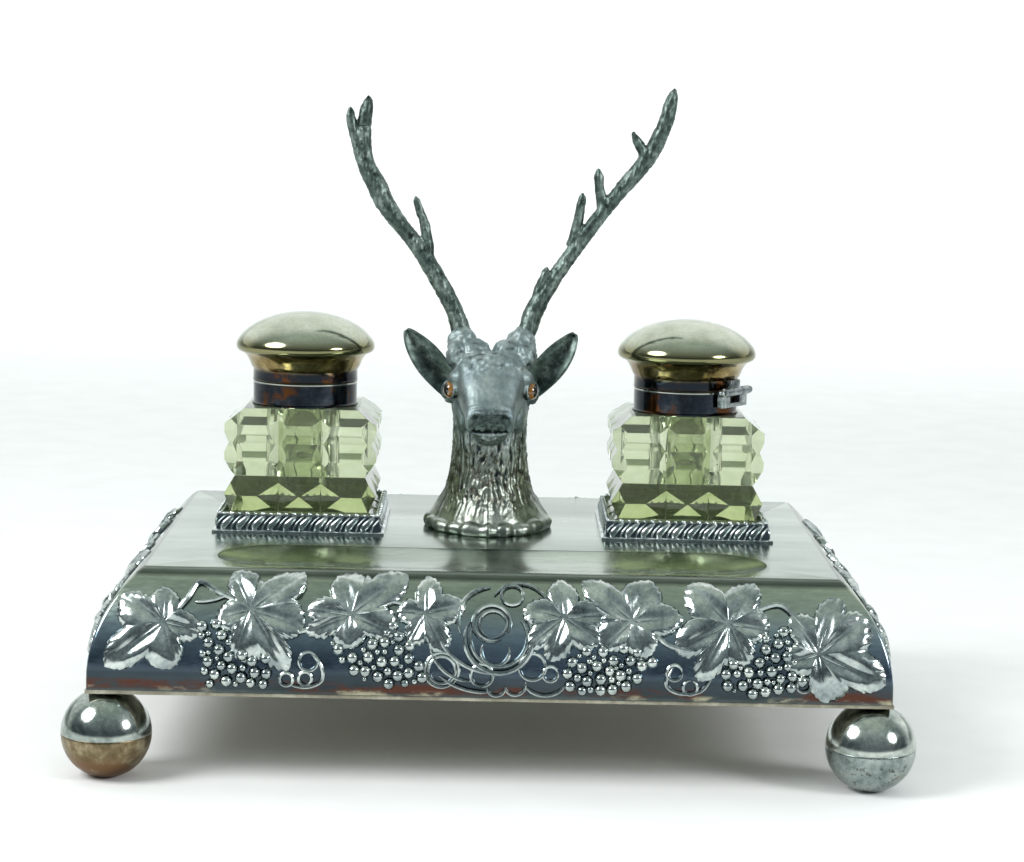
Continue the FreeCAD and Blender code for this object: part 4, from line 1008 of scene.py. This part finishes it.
def ball_arc(way, last):
    """The ball's outline from the seam to an angle, up or down as way is 1 or -1."""
    angles = [math.radians(SEAM_ANGLE + (last - SEAM_ANGLE) * i / 20) for i in range(21)]
    return [(FOOT_RADIUS * math.cos(a), FOOT_MIDDLE + way * FOOT_RADIUS * math.sin(a))
            for a in angles]


def build_feet():
    """Ball feet: a bright upper half and a worn lower half that meet at a fine seam."""
    middle = FOOT_MIDDLE
    top = math.degrees(math.asin((FOOT_TOP - middle) / FOOT_RADIUS))
    low = math.degrees(math.asin(middle / FOOT_RADIUS))
    groove = FOOT_RADIUS - SEAM_DEPTH
    upper = [(groove, middle + 0.01), (FOOT_RADIUS, middle + SEAM_HALF)] + ball_arc(1, top)
    upper += [(STUD_HOLE, FOOT_TOP), (STUD_HOLE, 28.2), (10, 23.6), (FOOT_INNER, middle + 0.01)]
    lower = [(FOOT_INNER, middle), (groove, middle), (FOOT_RADIUS, middle - SEAM_HALF)]
    lower += ball_arc(-1, low) + [(0, 0), (0, 1.6), (9, 4.6)]
    for corner, (sx, sy) in (("front_left", (-1, -1)), ("front_right", (1, -1)),
                             ("rear_left", (-1, 1)), ("rear_right", (1, 1))):
        worn = "foot_brown" if corner == "front_left" else "foot_grey"
        for part, profile, finish in (("upper", upper, "foot"), ("lower", lower, worn)):
            piece = spun("foot", profile, 72)
            # Each foot is turned its own way, so that no two show the same wear.
            move_mesh(piece, 37 * sx + 20 * sy, sx * FOOT_X, sy * FOOT_Y)
            finish_piece(piece, f"ball_{part}_{corner}", finish, "stand",
                         (f"foot_{corner}_{part}",), 40)


def build_base():
    """The sheet that closes the underside, and the hidden fixings."""
    base = refined_copy("base_plate", 0.25)
    finish_piece(base, "base_sheet", "base", "stand", ("base_plate",), 30)
    for node in ("foot_studs", "foot_washers", "foot_nuts", "head_stud", "head_washer",
                 "head_nut"):
        give_finish(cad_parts[node], "fixing")


# ---------------------------------------------------------------- stag's head

def section_loft(name, sections, count=40, square=2.0):
    """A closed skin through oval sections: centre, side axis and up axis, in millimetres.

    square is the oval's power: 2 is an ellipse and more is boxier.
    """
    points, faces = [], []
    for centre, wide, deep in sections:
        for step in range(count):
            cos = math.cos(2 * math.pi * step / count)
            sin = math.sin(2 * math.pi * step / count)
            points.append(Vector(centre)
                          + Vector(wide) * math.copysign(abs(cos) ** (2 / square), cos)
                          + Vector(deep) * math.copysign(abs(sin) ** (2 / square), sin))
    for level in range(len(sections) - 1):
        for step in range(count):
            a = level * count + step
            b = level * count + (step + 1) % count
            faces.append((a, b, b + count, a + count))
    last = (len(sections) - 1) * count
    faces.append(tuple(range(count - 1, -1, -1)))
    faces.append(tuple(range(last, last + count)))
    return tidy_mesh(from_lists(name, points, faces))


def blob(x, y, z, wide, deep, high, tilt=(0, 0, 0)):
    """An egg shape in millimetres; x is from the middle of the head."""
    deselect()
    bpy.ops.mesh.primitive_uv_sphere_add(segments=24, ring_count=16, radius=1)
    thing = bpy.context.active_object
    size = Matrix.Diagonal((wide * MM, deep * MM, high * MM, 1))
    lean = Matrix.Rotation(math.radians(tilt[2]), 4, "Z") @ Matrix.Rotation(
        math.radians(tilt[1]), 4, "Y") @ Matrix.Rotation(math.radians(tilt[0]), 4, "X")
    place = Matrix.Translation(((x + HEAD_X) * MM, y * MM, z * MM))
    thing.data.transform(place @ lean @ size)
    return thing


# An eye's place, its x from the head's middle.
EYE = (13.9, -2.0, 121.3)
EYE_RADIUS = 3.3


def eye_aim(sign):
    """The way an eye looks: outward and a little forward."""
    return Vector((sign * 0.92, -0.39, 0.05)).normalized()


# Sections of the neck and skull from the foot up: height, half width, front and back.
NECK_ROWS = [(PLATE_TOP, 23.3, -13.5, 48), (71.5, 23.2, -13.4, 47.8), (73.6, 21.6, -12.2, 46),
             (77.5, 19.2, -10.2, 43), (82, 16.3, -8.6, 38.5), (86.5, 15.0, -7.2, 35),
             (91, 14.2, -6.2, 32), (101, 13.3, -6, 28), (110, 13.5, -5.5, 25.5),
             (118, 14.4, -4.5, 24), (125, 15.3, -2.5, 22.5), (129.5, 15.2, -1.8, 21),
             (132.5, 13.2, 0.5, 19), (134, 8.5, 4, 15.5)]
# Sections of the face from the brow to the nose: distance along it, half width, half height.
FACE_ROWS = [(0, 14.2, 10.5), (6, 13.2, 10.8), (11, 12.0, 10.2), (16, 10.7, 8.9),
             (21, 9.4, 7.3), (25, 8.6, 6.3), (27.6, 8.4, 5.9), (28.8, 7.8, 5.4)]
FOOT_LUMPS = 11
HEAD_VOXEL = 0.48
ANTLER_VOXEL = 0.42


def build_head():
    """The cast bust: neck with a flared foot, skull, muzzle, brows and lids, then its coat."""
    neck = section_loft("neck", [((HEAD_X, (front + back) / 2, z), (wide, 0, 0),
                                  (0, (back - front) / 2, 0))
                                 for z, wide, front, back in NECK_ROWS], 48)
    slope = Vector((0, -0.83, -0.56)).normalized()
    rise = Vector((0, -slope.z, slope.y)) * -1
    start = Vector((HEAD_X, 4, 127))
    face = section_loft("face", [(start + slope * along, (wide, 0, 0), rise * high)
                                 for along, wide, high in FACE_ROWS], 44, 3.2)
    parts = [neck, face,
             blob(0, -10.5, 106.8, 6.4, 7.5, 4.4), blob(0, -14.4, 107.2, 6.2, 3.6, 2.2),
             blob(0, -4, 127.5, 11.5, 7, 7.6)]
    for sign in (-1, 1):
        parts += [blob(sign * 9.2, 1.5, 113.5, 4.4, 8, 8, (25, 0, 0)),
                  blob(sign * 11.4, -2.6, 126.4, 4.4, 4.6, 3, (0, sign * 20, 0)),
                  blob(sign * 10.6, 7, 136.2, 5.6, 6, 7.2), blob(sign * 5.9, 2.5, 133.6, 5.8, 5, 6),
                  blob(sign * 12.4, 1.5, 133.2, 4, 5, 5.2),
                  blob(sign * 14.4, 8, 119.8, 3.6, 4.2, 4.6)]
        bpy.ops.mesh.primitive_torus_add(major_radius=3.2 * MM, minor_radius=0.55 * MM,
                                         major_segments=32, minor_segments=8)
        lid = bpy.context.active_object
        aim = eye_aim(sign).to_track_quat("Z", "Y").to_matrix().to_4x4()
        place = Matrix.Translation(((HEAD_X + sign * (EYE[0] + 0.7)) * MM, (EYE[1] - 0.5) * MM,
                                    EYE[2] * MM))
        lid.data.transform(place @ aim @ Matrix.Diagonal((1.15, 0.95, 1, 1)))
        parts.append(lid)
    rng = random.Random(11)
    for index in range(FOOT_LUMPS):
        angle = math.radians(180 + 180 * (index + 0.5) / FOOT_LUMPS)
        x, y = 21.9 * math.cos(angle), 17 + 29.8 * math.sin(angle)
        parts.append(blob(x, y, 71.4, rng.uniform(3.4, 5.4), 1.9, rng.uniform(1.9, 2.9),
                          (0, 0, math.degrees(angle) + 90)))
    head = joined(parts, "head")
    apply(head, "REMESH", mode="VOXEL", voxel_size=HEAD_VOXEL * MM)
    apply(head, "SMOOTH", factor=0.6, iterations=5)
    carve_head(head)
    return finish_piece(head, "head_cast", "face", "stand", ("stag_head",))


def carve_head(head):
    """Move the skin in and out for hair, nostrils, mouth and eye sockets, and paint its shade."""
    mesh = head.data
    normals = [vertex.normal.copy() for vertex in mesh.vertices]
    relief_shade = []
    for vertex, normal in zip(mesh.vertices, normals):
        place = vertex.co / MM
        x, y, z = place.x - HEAD_X, place.y, place.z
        # How far the point belongs to the face, crown, flared foot and hairy neck, each 0 to 1.
        face = clamp((z - 104) / 8) * clamp((6 - y) / 8)
        crown = clamp((z - 126) / 5)
        foot = clamp((84 - z) / 9)
        neck = (1 - face) * (1 - crown) * (1 - 0.85 * foot)
        warp = noise.noise_vector(Vector((x, y, z)) / 9) * 2.2
        strand = noise.fractal(Vector((x * 1.0 + warp.x, y * 1.0 + warp.y, z * 0.1 + warp.z)),
                               0.9, 2.0, 3)
        clump = noise.fractal(Vector((x, y, z)) / 2.8 + warp * 0.2, 1.0, 2.1, 2)
        short = noise.fractal(Vector((x * 0.9, (y + z) * 0.32, (y - z) * 0.9)), 1.0, 2.0, 2)
        lumps = noise.noise(Vector((x, y, z * 0.6)) / 5.2)
        move = (neck * 0.55 * strand + crown * 0.7 * clump + face * (1 - crown) * 0.1 * short
                + foot * 0.8 * lumps)
        # Painted shade: gaps between hair strands, clumps and lumps darker, their tops lighter.
        shade = 0.6 + neck * 0.85 * strand + crown * 0.45 * clump + foot * 0.3 * lumps
        # The nose: a grained pad with a raised rim and two shallow nostrils. The pad and nostrils
        # are painted darker as shade and the rim lighter as a painted highlight.
        if y < -13 and 106 < z < 119:
            pad = ((abs(x) / 8.0) ** 4 + (abs(z - 112.4) / 5.2) ** 4) ** 0.25
            inner = clamp((1 - pad) / 0.08)
            rim = math.exp(-((pad - 1.03) / 0.07) ** 2)
            speck = noise.noise(Vector((x, y, z)) / 0.8)
            move += inner * (0.08 * speck - 0.3) + rim * 0.3
            shade += inner * (0.14 * speck - 0.22) + rim * 0.3
            for side in (-1, 1):
                hole = math.exp(-(((x - side * 5) / 1.3) ** 2 + ((z - 113.6) / 1.6) ** 2))
                move -= 0.45 * hole
                shade -= 0.12 * hole
        # The mouth line, painted dark as shade in its groove, then the ridge down the front of the
        # neck, painted lighter as a highlight.
        if y < -6 and 105 < z < 110:
            groove = math.exp(-((z - 107.9) / 0.5) ** 2) * max(0, 1 - (abs(x) / 9.5) ** 4)
            move -= 0.25 * groove
            shade -= 0.4 * groove
        spine = math.exp(-(x / 0.9) ** 2) * clamp((98 - z) / 8) * (y < 0)
        move += 0.6 * spine
        shade += 0.5 * spine
        vertex.co += normal * move * MM
        relief_shade.append(clamp(shade))
        # A hollow for each eye, painted fully dark as shade, and no skin below the platform's top.
        for sign in (-1, 1):
            aim = eye_aim(sign)
            here = vertex.co / MM - Vector((HEAD_X + sign * EYE[0], EYE[1], EYE[2]))
            if here.length < EYE_RADIUS + 0.1 and here.dot(aim) > -1.0:
                vertex.co -= aim * (here.dot(aim) + 1.0) * MM
                relief_shade[-1] = 0.0
        if vertex.co.z < PLATE_TOP * MM:
            vertex.co.z = PLATE_TOP * MM
    set_points(mesh, "relief_shade", relief_shade)
    mesh.update()


def build_eyes():
    """Glass eyes with a look value that grows away from the pupil."""
    for tag, sign in SIDES.items():
        deselect()
        bpy.ops.mesh.primitive_uv_sphere_add(segments=48, ring_count=32,
                                             radius=EYE_RADIUS * MM)
        thing = bpy.context.active_object
        aim = eye_aim(sign)
        set_points(thing.data, "look",
                   [vertex.co.normalized().angle(aim) for vertex in thing.data.vertices])
        thing.data.transform(Matrix.Translation(
            ((HEAD_X + sign * EYE[0]) * MM, EYE[1] * MM, EYE[2] * MM)))
        finish_piece(thing, f"glass_eye_{tag}", "eye", "stand", (f"eye_{tag}",))


def build_ears():
    """Cupped ears, each a leaf-shaped shell with a rolled edge."""
    line = {"left": [(-14.6, 8.5, 119.5), (-18.6, 7.4, 125.5), (-23.4, 7.2, 131.6),
                     (-28, 8.3, 137.2), (-31.2, 9.6, 141.6)],
            "right": [(14.2, 8.5, 119.5), (18.2, 7.4, 125.3), (23, 7.2, 131.2),
                      (27.4, 8.3, 136.9), (30.4, 9.6, 141.4)]}
    for tag, sign in SIDES.items():
        spine = [Vector(p) for p in smooth_line(line[tag], 7)]
        points, faces, relief_shade = [], [], []
        across_count = 12
        for index, centre in enumerate(spine):
            t = index / (len(spine) - 1)
            ahead = spine[min(index + 1, len(spine) - 1)] - spine[max(index - 1, 0)]
            side = ahead.cross(Vector((0, 1, 0))).normalized()
            half = 5.4 * math.sin(math.pi * (0.15 + 0.84 * t)) ** 0.8 + 0.1
            for step in range(across_count + 1):
                across = step / across_count * 2 - 1
                cup = 2.6 * (across ** 2 - 0.55) * (1 - 0.5 * t)
                ripple = 0.18 * noise.noise(Vector((t * 6, across * 2, sign * 5)))
                point = centre + side * across * half + Vector((0, -1, 0)) * (cup + ripple)
                points.append((point.x + HEAD_X, point.y, point.z))
                # Painted shade: the middle of the ear's cup is painted darker than its edges.
                relief_shade.append(0.25 + 0.75 * across ** 2)
        width = across_count + 1
        for index in range(len(spine) - 1):
            for step in range(across_count):
                a = index * width + step
                faces.append((a, a + 1, a + 1 + width, a + width))
        thing = from_lists("ear", points, faces, relief_shade)
        apply(thing, "SOLIDIFY", thickness=1.0 * MM, offset=0)
        apply(thing, "SUBSURF", levels=2, render_levels=2)
        tidy_mesh(thing, 0.000002)
        finish_piece(thing, f"ear_cast_{tag}", "antler", "stand",
                     (f"ear_{tag}",))


# A beam and its tines: x from the head's middle, y, z above the platform's top, radius.
ANTLERS = {
    "left": [
        [(-9.4, 10, 66.5, 3.3), (-11.5, 11, 72.9, 3.5), (-13.6, 11.9, 78.6, 3.25),
         (-16.4, 12.7, 84.3, 3.2), (-19.8, 13.6, 90.1, 3.2), (-23.4, 14.4, 95.8, 3.15),
         (-27.2, 15.3, 101.5, 3), (-31.8, 16.1, 107.2, 2.9), (-36.6, 17, 112.9, 3.2),
         (-40.4, 17.8, 118.6, 3.6), (-43.3, 18.7, 124.3, 3.7), (-46.5, 19.5, 130, 3.3),
         (-49.3, 20, 135.4, 2.5), (-51.3, 20.5, 141.2, 1.9), (-52.6, 20.5, 145.5, 1.8),
         (-53.1, 20.5, 149.5, 1.7), (-53.2, 20.5, 151.5, 0.9)],
        [(-46.3, 19.8, 131, 2.6), (-47.8, 20.4, 136.5, 2.7), (-47.9, 20.5, 141.6, 2.6),
         (-47.9, 20.5, 147.2, 2.6), (-47.2, 20.5, 151.8, 2.4), (-46.7, 20.5, 154.8, 1.6),
         (-46.7, 20.5, 156, 0.8)],
        [(-23.4, 14.4, 95.5, 2.1), (-23.5, 14.8, 100.5, 2), (-24.4, 14.8, 106, 1.95),
         (-25.6, 14.6, 111.5, 1.75), (-27.4, 14.3, 116, 1.6), (-28.4, 14, 119.2, 1.2),
         (-28.7, 14, 120.2, 0.6)]],
    "right": [
        [(11.6, 10, 69.5, 3.6), (13.2, 11, 73.4, 3.5), (15.1, 11.9, 79.2, 3.5),
         (18.2, 12.7, 85.1, 3.25), (21.8, 13.6, 90.9, 2.95), (25.8, 14.4, 96.8, 2.75),
         (29.9, 15.3, 102.7, 2.75), (34.1, 16.1, 108.6, 2.75), (38.5, 17, 114.5, 2.65),
         (43.1, 17.8, 120.4, 2.7), (47.9, 18.7, 126.2, 2.8), (52.9, 19.5, 132.1, 3),
         (57.1, 20.4, 138, 2.95), (59.9, 20.5, 143.9, 2.9), (62.2, 20.5, 149.8, 2.75),
         (63.6, 20.5, 155.6, 2.4), (64.4, 20.5, 158.8, 1.8), (64.8, 20.5, 160.8, 0.9)],
        [(15.8, 12.2, 81.5, 2.3), (16.8, 12.4, 86.5, 2.15), (18.3, 12.3, 90.9, 1.85),
         (19.3, 12.2, 94.2, 1.4), (19.5, 12.2, 95.4, 0.7)],
        [(28.6, 15.3, 103.5, 2.2), (29.8, 15.5, 108.4, 1.95), (30.8, 15.3, 113.5, 1.85),
         (31.3, 15, 117.5, 1.75), (32, 14.8, 121, 1.4), (32.1, 14.8, 122.6, 0.7)],
        [(39.6, 17.3, 116.5, 2.2), (39.1, 17.6, 120.2, 2), (38.2, 17.3, 125, 1.85),
         (37.9, 17, 129, 1.75), (37.8, 16.8, 131.2, 0.9)],
        [(55.2, 20, 135.5, 2.4), (53.2, 19.5, 139.4, 2), (51.2, 18.6, 142.8, 1.6),
         (50.2, 18, 144.8, 0.8)]],
}


def limb(points, sides=16):
    """A round limb through points with a radius at each, with domed ends."""
    line = smooth_line(points, 7)
    first, last = line[0], line[-1]
    work = bmesh.new()
    rows = []
    for index, (x, y, z, radius) in enumerate(line):
        ahead = line[min(index + 1, len(line) - 1)]
        behind = line[max(index - 1, 0)]
        way = Vector(ahead[:3]) - Vector(behind[:3])
        turn = way.to_track_quat("Z", "Y").to_matrix()
        rows.append((Vector((x + HEAD_X, y, z + PLATE_TOP)), turn, radius))
    end = rows[-1]
    nose = [(end[0] + end[1] @ Vector((0, 0, end[2] * rise)), end[1], end[2] * wide)
            for rise, wide in ((0.45, 0.88), (0.8, 0.6), (0.97, 0.24))]
    loops = []
    for centre, turn, radius in rows + nose:
        loops.append([work.verts.new(centre + turn @ Vector(
            (radius * math.cos(2 * math.pi * s / sides), radius * math.sin(
                2 * math.pi * s / sides), 0))) for s in range(sides)])
    for lower, upper in zip(loops, loops[1:]):
        for s in range(sides):
            work.faces.new((lower[s], lower[(s + 1) % sides], upper[(s + 1) % sides], upper[s]))
    work.faces.new(list(reversed(loops[0])))
    work.faces.new(loops[-1])
    return object_from(work, "limb")


def build_antlers():
    """Cast antlers: a beam with blunt tines, pearled and furrowed along its length."""
    for tag, branches in ANTLERS.items():
        thing = joined([limb(points) for points in branches], "antler")
        apply(thing, "REMESH", mode="VOXEL", voxel_size=ANTLER_VOXEL * MM)
        apply(thing, "SMOOTH", factor=0.6, iterations=4)
        mesh = thing.data
        relief_shade = []
        normals = [vertex.normal.copy() for vertex in mesh.vertices]
        for vertex, normal in zip(mesh.vertices, normals):
            place = vertex.co / MM
            furrow = noise.fractal(Vector((place.x * 0.9, place.y * 0.9, place.z * 0.22)),
                                   1.0, 2.0, 3)
            pearl = noise.fractal(place / 1.7, 1.0, 2.0, 2)
            move = 0.24 * furrow + 0.13 * pearl
            vertex.co += normal * move * MM
            # Painted shade: sunk furrows are painted darker, raised pearls lighter.
            relief_shade.append(clamp(0.55 + 1.3 * move))
        set_points(mesh, "relief_shade", relief_shade)
        mesh.update()
        finish_piece(thing, f"antler_cast_{tag}", "antler", "stand",
                     (f"antler_{tag}",))


# ---------------------------------------------------------------- stage

CAMERA_PLACE = (-2.32, -952.99, 234.37)
# How far the camera looks down, is turned to the right and is rolled, in radians.
CAMERA_TILT = (0.1335, 0.009, 0.0218)


def build_stage(stage):
    """A pale floor that curves up behind, soft lamps, a sky and the camera."""
    deselect()
    work = bmesh.new()
    rows = []
    back, wide, bend = 1500, 6000, 900
    for y, z in [(-6000, 0), (back, 0)] + [
            (back + bend * math.sin(math.radians(a)), bend - bend * math.cos(math.radians(a)))
            for a in range(9, 91, 9)] + [(back + bend, 1000)]:
        rows.append([work.verts.new((side * wide, y, z)) for side in (-1, 1)])
    for lower, upper in zip(rows, rows[1:]):
        work.faces.new((lower[0], lower[1], upper[1], upper[0]))
    floor = object_from(work, "floor")
    material, tree, shader = new_material("pale_paper_sweep")
    place = add(tree, "ShaderNodeTexCoord").outputs["Object"]
    grain = speckle(tree, place, 30, 2)
    tree.links.new(ramp(tree, grain, [(0.3, "#f4f5f5"), (0.7, "#f8f9f9")]),
                   shader.inputs["Base Color"])
    shader.inputs["Roughness"].default_value = 0.9
    floor.data.materials.append(material)
    activate(floor)
    bpy.ops.object.shade_smooth()

    world = bpy.data.worlds.new("studio")
    world.use_nodes = True
    bpy.context.scene.world = world
    tree = world.node_tree
    tree.nodes.clear()
    way = add(tree, "ShaderNodeTexCoord").outputs["Generated"]
    parts = add(tree, "ShaderNodeSeparateXYZ", {0: way}).outputs
    rise = ramp(tree, parts["Z"], [(0.0, "#474e54"), (0.12, "#535b60"), (0.35, "#6d7679"),
                                   (0.67, "#909a9b"), (1.0, "#a5afa6")])
    ahead = ramp_range(tree, parts["Y"], -0.02, 0.5)
    colour = mixed(tree, ahead, rise, linear("#eef1ef"))
    glow = add(tree, "ShaderNodeBackground", {"Color": colour, "Strength": stage.sky_strength})
    add(tree, "ShaderNodeOutputWorld", {"Surface": glow.outputs[0]})

    for name, place, aim, size, power in (
            ("key", (-0.77, -0.44, 0.78), (0, 0, 0.1), (0.58, 0.58), stage.key_power),
            ("fill", (0.86, -0.57, 0.5), (0, 0, 0.1), (0.36, 0.36), stage.fill_power),
            ("backdrop", (0, 1.6, 1.0), (0, 2.1, 0.2), (4, 0.4), stage.backdrop_power)):
        lamp = bpy.data.lights.new(name, "AREA")
        lamp.shape = "ELLIPSE"
        lamp.size, lamp.size_y = size
        lamp.energy = power
        thing = bpy.data.objects.new(name, lamp)
        bpy.context.collection.objects.link(thing)
        thing.location = place
        thing.rotation_euler = (Vector(place) - Vector(aim)).to_track_quat("Z", "Y").to_euler()

    camera = bpy.data.cameras.new("camera")
    camera.lens = stage.lens
    camera.sensor_width = 36
    camera.clip_end = 50
    thing = bpy.data.objects.new("camera", camera)
    bpy.context.collection.objects.link(thing)
    pitch, yaw, roll = CAMERA_TILT
    forward = Vector((math.sin(yaw) * math.cos(pitch), math.cos(yaw) * math.cos(pitch),
                      -math.sin(pitch)))
    level = Vector((math.cos(yaw), -math.sin(yaw), 0))
    upright = level.cross(forward)
    right = level * math.cos(roll) + upright * math.sin(roll)
    up = upright * math.cos(roll) - level * math.sin(roll)
    turn = Matrix((right, up, -forward)).transposed().to_4x4()
    turn.translation = Vector(CAMERA_PLACE) * MM
    thing.matrix_world = turn
    bpy.context.scene.camera = thing
    bpy.context.scene.view_settings.view_transform = "Standard"


# ---------------------------------------------------------------- add-on

class InkstandColours(bpy.types.PropertyGroup):
    tarnished: bpy.props.StringProperty(name="Tarnished silver", description="sRGB hex colour",
                                        default="#929d96")
    silver_mid: bpy.props.StringProperty(name="Silver", description="sRGB hex colour",
                                         default="#a9b3ab")
    silver_clean: bpy.props.StringProperty(name="Clean silver", description="sRGB hex colour",
                                           default="#bec7bf")
    copper: bpy.props.StringProperty(name="Bare copper", description="sRGB hex colour",
                                     default="#583a31")


class InkstandStage(bpy.types.PropertyGroup):
    sky_strength: bpy.props.FloatProperty(name="Sky strength", description="World brightness",
                                          default=1.4, min=0)
    key_power: bpy.props.FloatProperty(name="Key lamp", description="Left lamp's power",
                                       default=9, min=0, unit="POWER")
    fill_power: bpy.props.FloatProperty(name="Fill lamp", description="Right lamp's power",
                                        default=5, min=0, unit="POWER")
    backdrop_power: bpy.props.FloatProperty(name="Backdrop lamp", min=0, default=14, unit="POWER",
                                            description="Power of the lamp behind the stand")
    lens: bpy.props.FloatProperty(name="Lens", description="Focal length in millimetres",
                                  default=93.16, min=1)


class PieceOperator:
    bl_options = {"REGISTER", "UNDO"}


class INKSTAND_OT_finishes(PieceOperator, bpy.types.Operator):
    """Make every finish of the stand"""
    bl_idname = "inkstand.finishes"
    bl_label = "Finishes"

    def execute(self, context):
        materials.update(make_materials(context.scene.inkstand_colours))
        return {"FINISHED"}


class INKSTAND_OT_platform(PieceOperator, bpy.types.Operator):
    """Model the platform with its pen tray"""
    bl_idname = "inkstand.platform"
    bl_label = "Platform"

    def execute(self, context):
        build_platform()
        return {"FINISHED"}


class INKSTAND_OT_borders(PieceOperator, bpy.types.Operator):
    """Model the four vine borders"""
    bl_idname = "inkstand.borders"
    bl_label = "Vine borders"

    def execute(self, context):
        for side, turn in (("front", 0), ("right", 90), ("rear", 180), ("left", 270)):
            build_border(side, turn)
        return {"FINISHED"}


class INKSTAND_OT_galleries(PieceOperator, bpy.types.Operator):
    """Model the two galleries"""
    bl_idname = "inkstand.galleries"
    bl_label = "Galleries"

    def execute(self, context):
        for tag in SIDES:
            build_gallery(tag)
        return {"FINISHED"}


class INKSTAND_OT_inkwells(PieceOperator, bpy.types.Operator):
    """Model the bottles, collars, lids and hinges"""
    bl_idname = "inkstand.inkwells"
    bl_label = "Inkwells"

    def execute(self, context):
        for tag in SIDES:
            build_inkwell(tag)
        return {"FINISHED"}


class INKSTAND_OT_feet(PieceOperator, bpy.types.Operator):
    """Model the ball feet and the base"""
    bl_idname = "inkstand.feet"
    bl_label = "Feet and base"

    def execute(self, context):
        build_feet()
        build_base()
        return {"FINISHED"}


class INKSTAND_OT_head(PieceOperator, bpy.types.Operator):
    """Model the stag's head with its eyes and ears"""
    bl_idname = "inkstand.head"
    bl_label = "Stag's head"

    def execute(self, context):
        build_head()
        build_eyes()
        build_ears()
        return {"FINISHED"}


class INKSTAND_OT_antlers(PieceOperator, bpy.types.Operator):
    """Model the antlers"""
    bl_idname = "inkstand.antlers"
    bl_label = "Antlers"

    def execute(self, context):
        build_antlers()
        return {"FINISHED"}


class INKSTAND_OT_stage(PieceOperator, bpy.types.Operator):
    """Lay the floor and set the lamps and camera"""
    bl_idname = "inkstand.stage"
    bl_label = "Stage"

    def execute(self, context):
        build_stage(context.scene.inkstand_stage)
        return {"FINISHED"}


OPERATORS = (INKSTAND_OT_finishes, INKSTAND_OT_platform, INKSTAND_OT_borders,
             INKSTAND_OT_galleries, INKSTAND_OT_inkwells, INKSTAND_OT_feet, INKSTAND_OT_head,
             INKSTAND_OT_antlers, INKSTAND_OT_stage)


class INKSTAND_PT_panel(bpy.types.Panel):
    """Lists the pieces of the inkstand"""
    bl_idname = "INKSTAND_PT_panel"
    bl_label = "Inkstand"
    bl_space_type = "VIEW_3D"
    bl_region_type = "UI"
    bl_category = "Inkstand"

    def draw(self, context):
        for group in (context.scene.inkstand_colours, context.scene.inkstand_stage):
            for name in group.__annotations__:
                self.layout.prop(group, name)
        for operator in OPERATORS:
            self.layout.operator(operator.bl_idname)


CLASSES = (InkstandColours, InkstandStage) + OPERATORS + (INKSTAND_PT_panel,)


def register():
    for cls in CLASSES:
        bpy.utils.register_class(cls)
    bpy.types.Scene.inkstand_colours = bpy.props.PointerProperty(type=InkstandColours)
    bpy.types.Scene.inkstand_stage = bpy.props.PointerProperty(type=InkstandStage)


def unregister():
    del bpy.types.Scene.inkstand_stage
    del bpy.types.Scene.inkstand_colours
    for cls in reversed(CLASSES):
        bpy.utils.unregister_class(cls)


def main():
    register()
    for operator in OPERATORS:
        group, name = operator.bl_idname.split(".")
        getattr(getattr(bpy.ops, group), name)()


if __name__ == "__main__":
    main()
